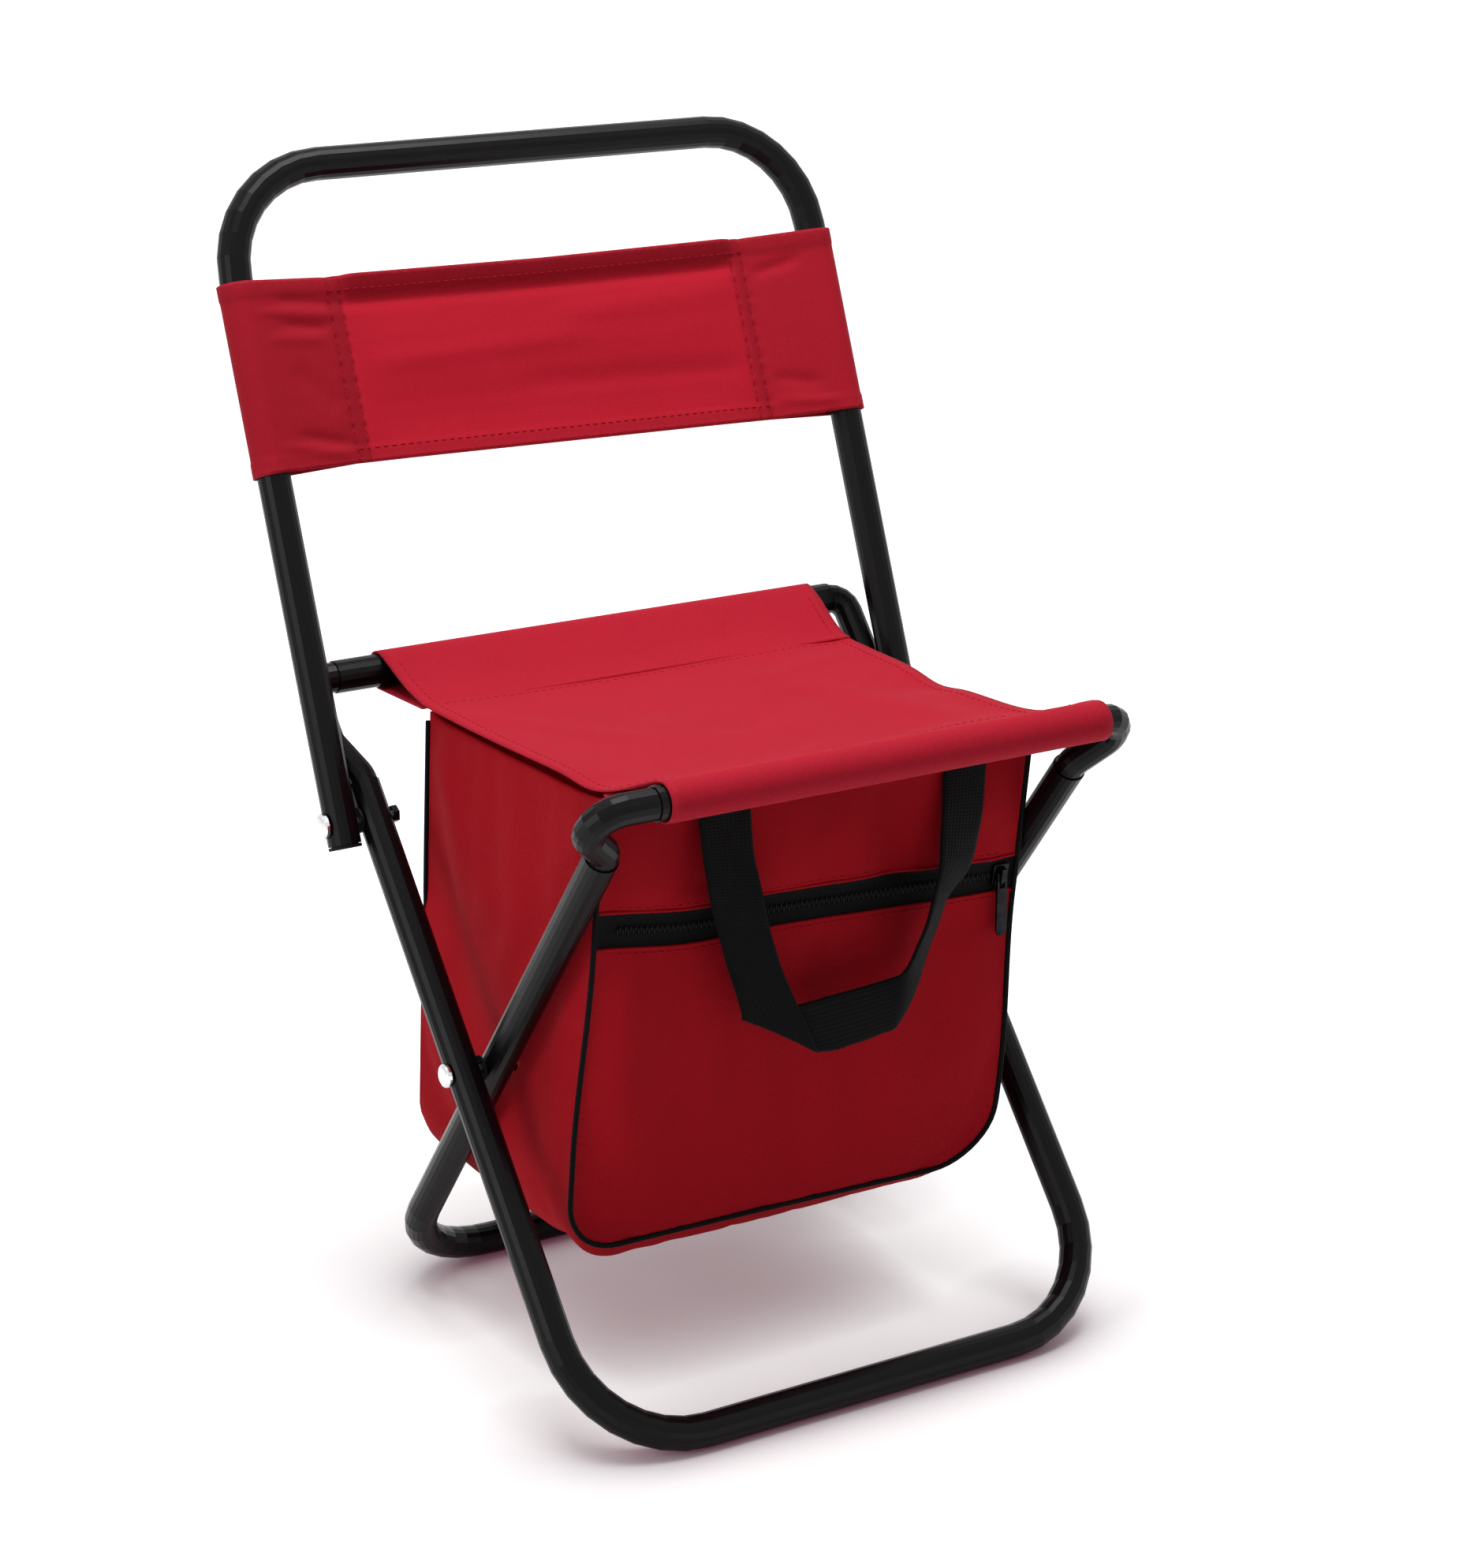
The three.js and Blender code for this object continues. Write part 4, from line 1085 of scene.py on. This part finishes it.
def add_bag():
    vertices, faces, uvs, slots, tables = bag_mesh_parts()
    bag = new_object("bag_shell", vertices, faces, uvs)
    settle_bag(bag, tables)
    points = np.array([v.co for v in bag.data.vertices])
    loops = [points[around_panel(tables[side])] for side in ("front", "back")]
    set_shade(bag, WEAR_NAME, bell(seam_distance(points, *loops), BAG_WEAR))
    # Painted shade: the bag's upper front is painted darker where the seat's front roll shades it
    painted_roll_shade = smoothstep((points[:, 2] - ZIP_TOP) / 0.05) * smoothstep((-0.09 - points[:, 1]) / 0.03)
    set_shade(bag, DARKENING_NAME, 0.5 * painted_roll_shade)
    dress(bag, "red_cloth", RED_BAG_PAINTED_SHADE, TAPE)
    bag.data.polygons.foreach_set("material_index", slots.astype(np.int32))
    soften(bag)
    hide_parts("bag_front_upper", "bag_front_lower", "bag_back", "bag_gusset", "bag_top", "bag_lining",
                "zip_tape_upper", "zip_tape_lower")
    fold_with_bag(bag)
    add_piping("bag_cord_front", loops[0], -1.0, 0.0, "bag_piping_front")
    add_piping("bag_cord_back", loops[1], 1.0, 0.0036, "bag_piping_back")
    add_zip(points[tables["front"]])
    add_bag_stitching(points[tables["front"]])


def add_piping(name, loop, outward, tuck, node):
    away = loop * np.array([1.0, 0.0, 1.0])
    away[:, 2] = np.minimum(away[:, 2] - CORNER_Z, 0.0)
    away[:, 0] *= np.where(loop[:, 2] > CORNER_Z, 1.0, 0.8)
    away /= np.linalg.norm(away, axis=1)[:, None]
    tucked = tuck * smoothstep((SWELL_TOP - loop[:, 2:]) / SWELL_FADE)
    line = loop + away * (0.0006 - tucked) + np.array([0.0, outward * 0.0007, 0.0])
    cord = tube_along(name, resample(line[1:-1], 150), PIPING_RADIUS)
    dress(cord, "black_webbing", WEBBING)
    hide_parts(node)
    fold_with_bag(cord)


TOOTH_PITCH = 0.00145
TOOTH_STAGGER = 0.00055
TOOTH_LENGTH = 0.0040
TOOTH_RADIUS = 0.00072
ZIP_EDGE_UP = 0.0004
ZIP_EDGE_RADIUS = 0.0009
ZIP_ROW_GAP = 0.0030


def add_zip(front):
    """Teeth along the middle of the tape, and the turned edges of the two panels beside it."""
    middle = front[UPPER_ROWS + ZIP_ROWS // 2, 2:-2]
    above = front[UPPER_ROWS + ZIP_ROWS // 2 - 2, 2:-2]
    line = resample(middle, 400)
    slope = resample(above, 400) - line
    along = run_lengths(line)
    items = []
    out = np.array([0.0, -1.0, 0.0])
    for k, at in enumerate(np.arange(TOOTH_PITCH, along[-1] - TOOTH_PITCH, TOOTH_PITCH)):
        up = at_length(slope, along, at)
        up = up / np.linalg.norm(up)
        side = TOOTH_STAGGER if k % 2 else -TOOTH_STAGGER
        items.append((at_length(line, along, at) + up * side + out * 0.0002, up, out))
    teeth = capsules("zip_teeth", items, TOOTH_LENGTH, TOOTH_RADIUS)
    dress(teeth, "black_plastic", PLASTIC)
    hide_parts("zip_coil")
    fold_with_bag(teeth)
    low_row = UPPER_ROWS + ZIP_ROWS
    edges = (("zip_edge_upper", UPPER_ROWS, ZIP_EDGE_UP), ("zip_edge_lower", low_row, -ZIP_EDGE_UP))
    for name, row, shift in edges:
        edge = front[row] + np.array([0.0, -0.0001, shift])
        cord = tube_along(name, resample(edge, 120), ZIP_EDGE_RADIUS, 8)
        set_shade(cord, WEAR_NAME, np.full(len(cord.data.vertices), 0.4))
        dress(cord, "red_cloth", RED_BAG_PAINTED_SHADE)
        fold_with_bag(cord)


def add_bag_stitching(front):
    rows = []
    out = np.tile(np.array([0.0, -1.0, 0.0]), (BAG_COLUMNS - 4, 1))
    for row, step in ((UPPER_ROWS, -1), (UPPER_ROWS + ZIP_ROWS, 1)):
        near = front[row + step, 2:-2]
        edge = front[row, 2:-2]
        share = ZIP_ROW_GAP / np.linalg.norm(near - edge, axis=1)[:, None]
        rows.append((edge + (near - edge) * share, out))
    fold_with_bag(stitches("bag_stitches", rows))


# Zip slider and pull

def rounded_copy(name, node, body, material, slot, bevel):
    mesh = NODES[node].data.copy()
    mesh.name = name
    mesh.materials.clear()
    obj = link_object(name, mesh)
    edge = obj.modifiers.new("edge", "BEVEL")
    edge.width = bevel
    edge.segments = 2
    edge.limit_method = "ANGLE"
    edge.angle_limit = math.radians(35)
    mesh.shade_smooth()
    mesh.set_sharp_from_angle(angle=math.radians(40))
    dress(obj, slot, material)
    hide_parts(node)
    fold_with_bag(obj, body)


def add_slider():
    rounded_copy("slider_body", "zip_slider", "slider", DARK_STEEL, "dark_steel", 0.00035)
    rounded_copy("slider_tab", "zip_pull", "pull", DARK_STEEL, "dark_steel", 0.00030)


# Carry handle

HANDLE_WIDTH = 0.028
HANDLE_THICKNESS = 0.0016
# The strap's two edges in millimetres, in step: down the left leg, over a slanting fold, along the grip
# and up the twisted right leg
HANDLE_EDGES = [
    (-70.4, -128.4, 317.2, -41.9, -128.4, 317.2),
    (-69.5, -128.6, 304, -41.3, -128.6, 303.5),
    (-67.6, -129.2, 285, -40, -129.3, 281.5),
    (-65, -130, 264, -35.8, -130.4, 259),
    (-60.2, -131, 244, -30.4, -131.8, 235),
    (-54.7, -132, 223, -22, -133.2, 210),
    (-49, -133, 203, -9.5, -134.5, 182),
    (-48.4, -132.2, 200, -6.4, -133.6, 174.5),
    (-44, -130.9, 199.8, -3, -132.2, 173.5),
    (-18, -131.6, 200.2, 6, -132.6, 173.2),
    (11, -133, 202, 19, -133.4, 174.4),
    (28, -133.8, 203.2, 31, -134.4, 176.5),
    (36.8, -135.2, 204.6, 38.5, -135, 178),
    (40.4, -138, 207.5, 46.2, -133.5, 187),
    (44.1, -140.2, 215, 55.6, -129.6, 200),
    (50, -141, 227, 66, -125.8, 218),
    (57, -140.5, 243, 75.6, -125.4, 236.2),
    (63, -136.2, 260, 87.2, -127.2, 253),
    (67, -131.2, 281.6, 92.2, -128, 277.5),
    (70, -128.8, 304, 95, -128.4, 304),
    (70.3, -128.5, 317.2, 95.3, -128.4, 317.2),
]


def add_handle():
    stations = spline(np.array(HANDLE_EDGES) / 1000, 170)
    first, second = stations[:, :3], stations[:, 3:]
    share = np.linspace(0.0, 1.0, 13)
    points = first[:, None] + (second - first)[:, None] * share[None, :, None]
    along = run_lengths((first + second) / 2)
    raised = normals_of(points)
    across = 2 * share - 1
    ripple = 0.0005 * np.sin(along / 0.011) + 0.0003 * np.sin(along / 0.0047)
    crown = 0.0006 * (1 - across**2)[None, :] + ripple[:, None] * (across**2)[None, :]
    points = points + raised * crown[..., None]
    flat_x = np.repeat(share[None] * HANDLE_WIDTH, len(along), axis=0)
    uv = np.stack([flat_x, spread(along, len(share))], axis=-1)
    wear = np.repeat(np.abs(across)[None] ** 6, len(along), axis=0)
    strap = cloth_sheet("carry_webbing", points, uv, wear, HANDLE_THICKNESS, "black_webbing", WEBBING)
    freeze(strap)
    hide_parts("carry_handle")
    fold_with_bag(strap, "handle")


# CAD nodes that stay

KEPT = {
    "tube_paint": PAINT,
    "bright_metal": CHROME,
    "dark_steel": DARK_STEEL,
    "black_plastic": PLASTIC,
}


def dress_cad():
    for part in frame["record"]["subparts"]:
        node = NODES[part["node"]]
        material = KEPT.get(part["material_slot"])
        if material is None or node.hide_render:
            continue
        node.data.materials.clear()
        node.data.materials.append(material)
        node.data.shade_smooth()
        node.data.set_sharp_from_angle(angle=math.radians(32))


# Floor, light and camera

# What the floor adds to its own light: some near the stool, white at the backdrop, with an oval between
GLOW_NEAR = 0.60
GLOW_FAR = 1.0
GLOW_CHANGE = (0.75, 1.0)
GLOW_OVAL = (2.0, 4.0, 1.0)
GLOW_SHIFT = (0.0, 0.10, 0.0)
# How far above the floor a piece still covers it, how deep that painted shadow in the floor's glow is, and
# the painted red-violet bounce light in it
COVER_REACH = 0.07
COVER_POWER = 3.6
BOUNCE_TINT = rgb(0.10, 0.015, 0.045)
WHITE = rgb(1.0, 1.0, 1.0)
FLOOR_HALF_WIDTH = 12.0
WORLD_FILL = 0.21


def seen_rays(tree):
    """1 for rays that see a surface straight from the camera, by reflection or through glass."""
    rays = add_node(tree, "ShaderNodeLightPath").outputs
    seen = rays["Is Camera Ray"]
    for kind in ("Is Glossy Ray", "Is Transmission Ray"):
        seen = add_node(tree, "ShaderNodeMath", {0: seen, 1: rays[kind]}, operation="MAXIMUM").outputs[0]
    return seen


def add_floor():
    """Pale floor that keeps the shadow near the stool and whitens to the backdrop further out."""
    half = FLOOR_HALF_WIDTH
    corners = [(-half, -half, 0), (half, -half, 0), (half, half, 0), (-half, half, 0)]
    floor = new_object("floor", corners, [(0, 1, 2, 3)])
    s = Shader("pale_floor")
    s.set(Base_Color=rgb(0.82, 0.80, 0.81), Roughness=0.55, Specular_IOR_Level=0.3)
    oval = s.stretched(s.place(), GLOW_OVAL, GLOW_SHIFT)
    reach = s.node("ShaderNodeVectorMath", {0: oval}, operation="LENGTH").outputs["Value"]
    paler = s.between(s.ramp(reach, *GLOW_CHANGE), GLOW_NEAR, GLOW_FAR)
    cover = s.node("ShaderNodeAmbientOcclusion", {"Distance": COVER_REACH}, samples=8).outputs["AO"]
    # The floor's glow is painted darker where pieces cover it, a painted shadow, and tinted as painted red
    # bounce light
    colour = s.mix(s.math("POWER", cover, COVER_POWER), BOUNCE_TINT, WHITE)
    glow = s.node("ShaderNodeEmission", {"Color": colour, "Strength": s.times(seen_rays(s.tree), paler)})
    both = s.node("ShaderNodeAddShader", {0: s.surface.outputs[0], 1: glow.outputs[0]})
    s.tree.links.new(both.outputs[0], s.tree.nodes["Material Output"].inputs["Surface"])
    floor.data.materials.append(s.material)


def add_world():
    world = bpy.data.worlds.new("studio")
    bpy.context.scene.world = world
    world.use_nodes = True
    tree = world.node_tree
    fill = tree.nodes["Background"]
    fill.inputs["Color"].default_value = rgb(1.0, 0.985, 0.99)
    fill.inputs["Strength"].default_value = WORLD_FILL
    white = add_node(tree, "ShaderNodeBackground", {"Color": WHITE})
    choice = {0: seen_rays(tree), 1: fill.outputs[0], 2: white.outputs[0]}
    mix = add_node(tree, "ShaderNodeMixShader", choice)
    tree.links.new(mix.outputs[0], tree.nodes["World Output"].inputs["Surface"])


def add_lamp(name, place, target, size, energy):
    lamp = bpy.data.lights.new(name, "AREA")
    lamp.shape = "RECTANGLE"
    lamp.size, lamp.size_y = size
    lamp.energy = energy
    obj = link_object(name, lamp)
    obj.location = place
    obj.rotation_euler = (Vector(target) - Vector(place)).to_track_quat("-Z", "Y").to_euler()


# Each lamp: name, place, what it points at, size and power in watts
LAMPS = [
    ("key", (0.0, -0.08, 2.0), (0.0, -0.07, 0.30), (1.5, 0.6), 25.5),
    ("left_fill", (-1.9, -0.3, 0.9), (0.0, 0.0, 0.30), (0.8, 1.1), 8.5),
]
# The camera that fits the photograph's lines: place, azimuth, elevation and roll in degrees, lens in mm
CAMERA_PLACE = (-0.89387, -1.51123, 0.82984)
CAMERA_ANGLES = (-31.437, 17.566, -0.163)
CAMERA_LENS = 82.96
CAMERA_SENSOR = 36.0


def add_camera():
    azimuth, elevation, roll = (math.radians(a) for a in CAMERA_ANGLES)
    back = Vector((math.sin(azimuth) * math.cos(elevation), -math.cos(azimuth) * math.cos(elevation),
                   math.sin(elevation)))
    right = Vector((math.cos(azimuth), math.sin(azimuth), 0.0))
    up = back.cross(right)
    turn = Matrix((right, up, back)).transposed().to_4x4() @ Matrix.Rotation(roll, 4, "Z")
    data = bpy.data.cameras.new("camera")
    data.sensor_width = CAMERA_SENSOR
    data.lens = CAMERA_LENS
    camera = link_object("camera", data)
    camera.matrix_world = Matrix.Translation(CAMERA_PLACE) @ turn
    bpy.context.scene.camera = camera


add_seat()
add_band()
add_bag()
add_slider()
add_handle()
dress_cad()
add_floor()
add_world()
for lamp in LAMPS:
    add_lamp(*lamp)
add_camera()
bpy.context.scene.view_settings.view_transform = "Standard"
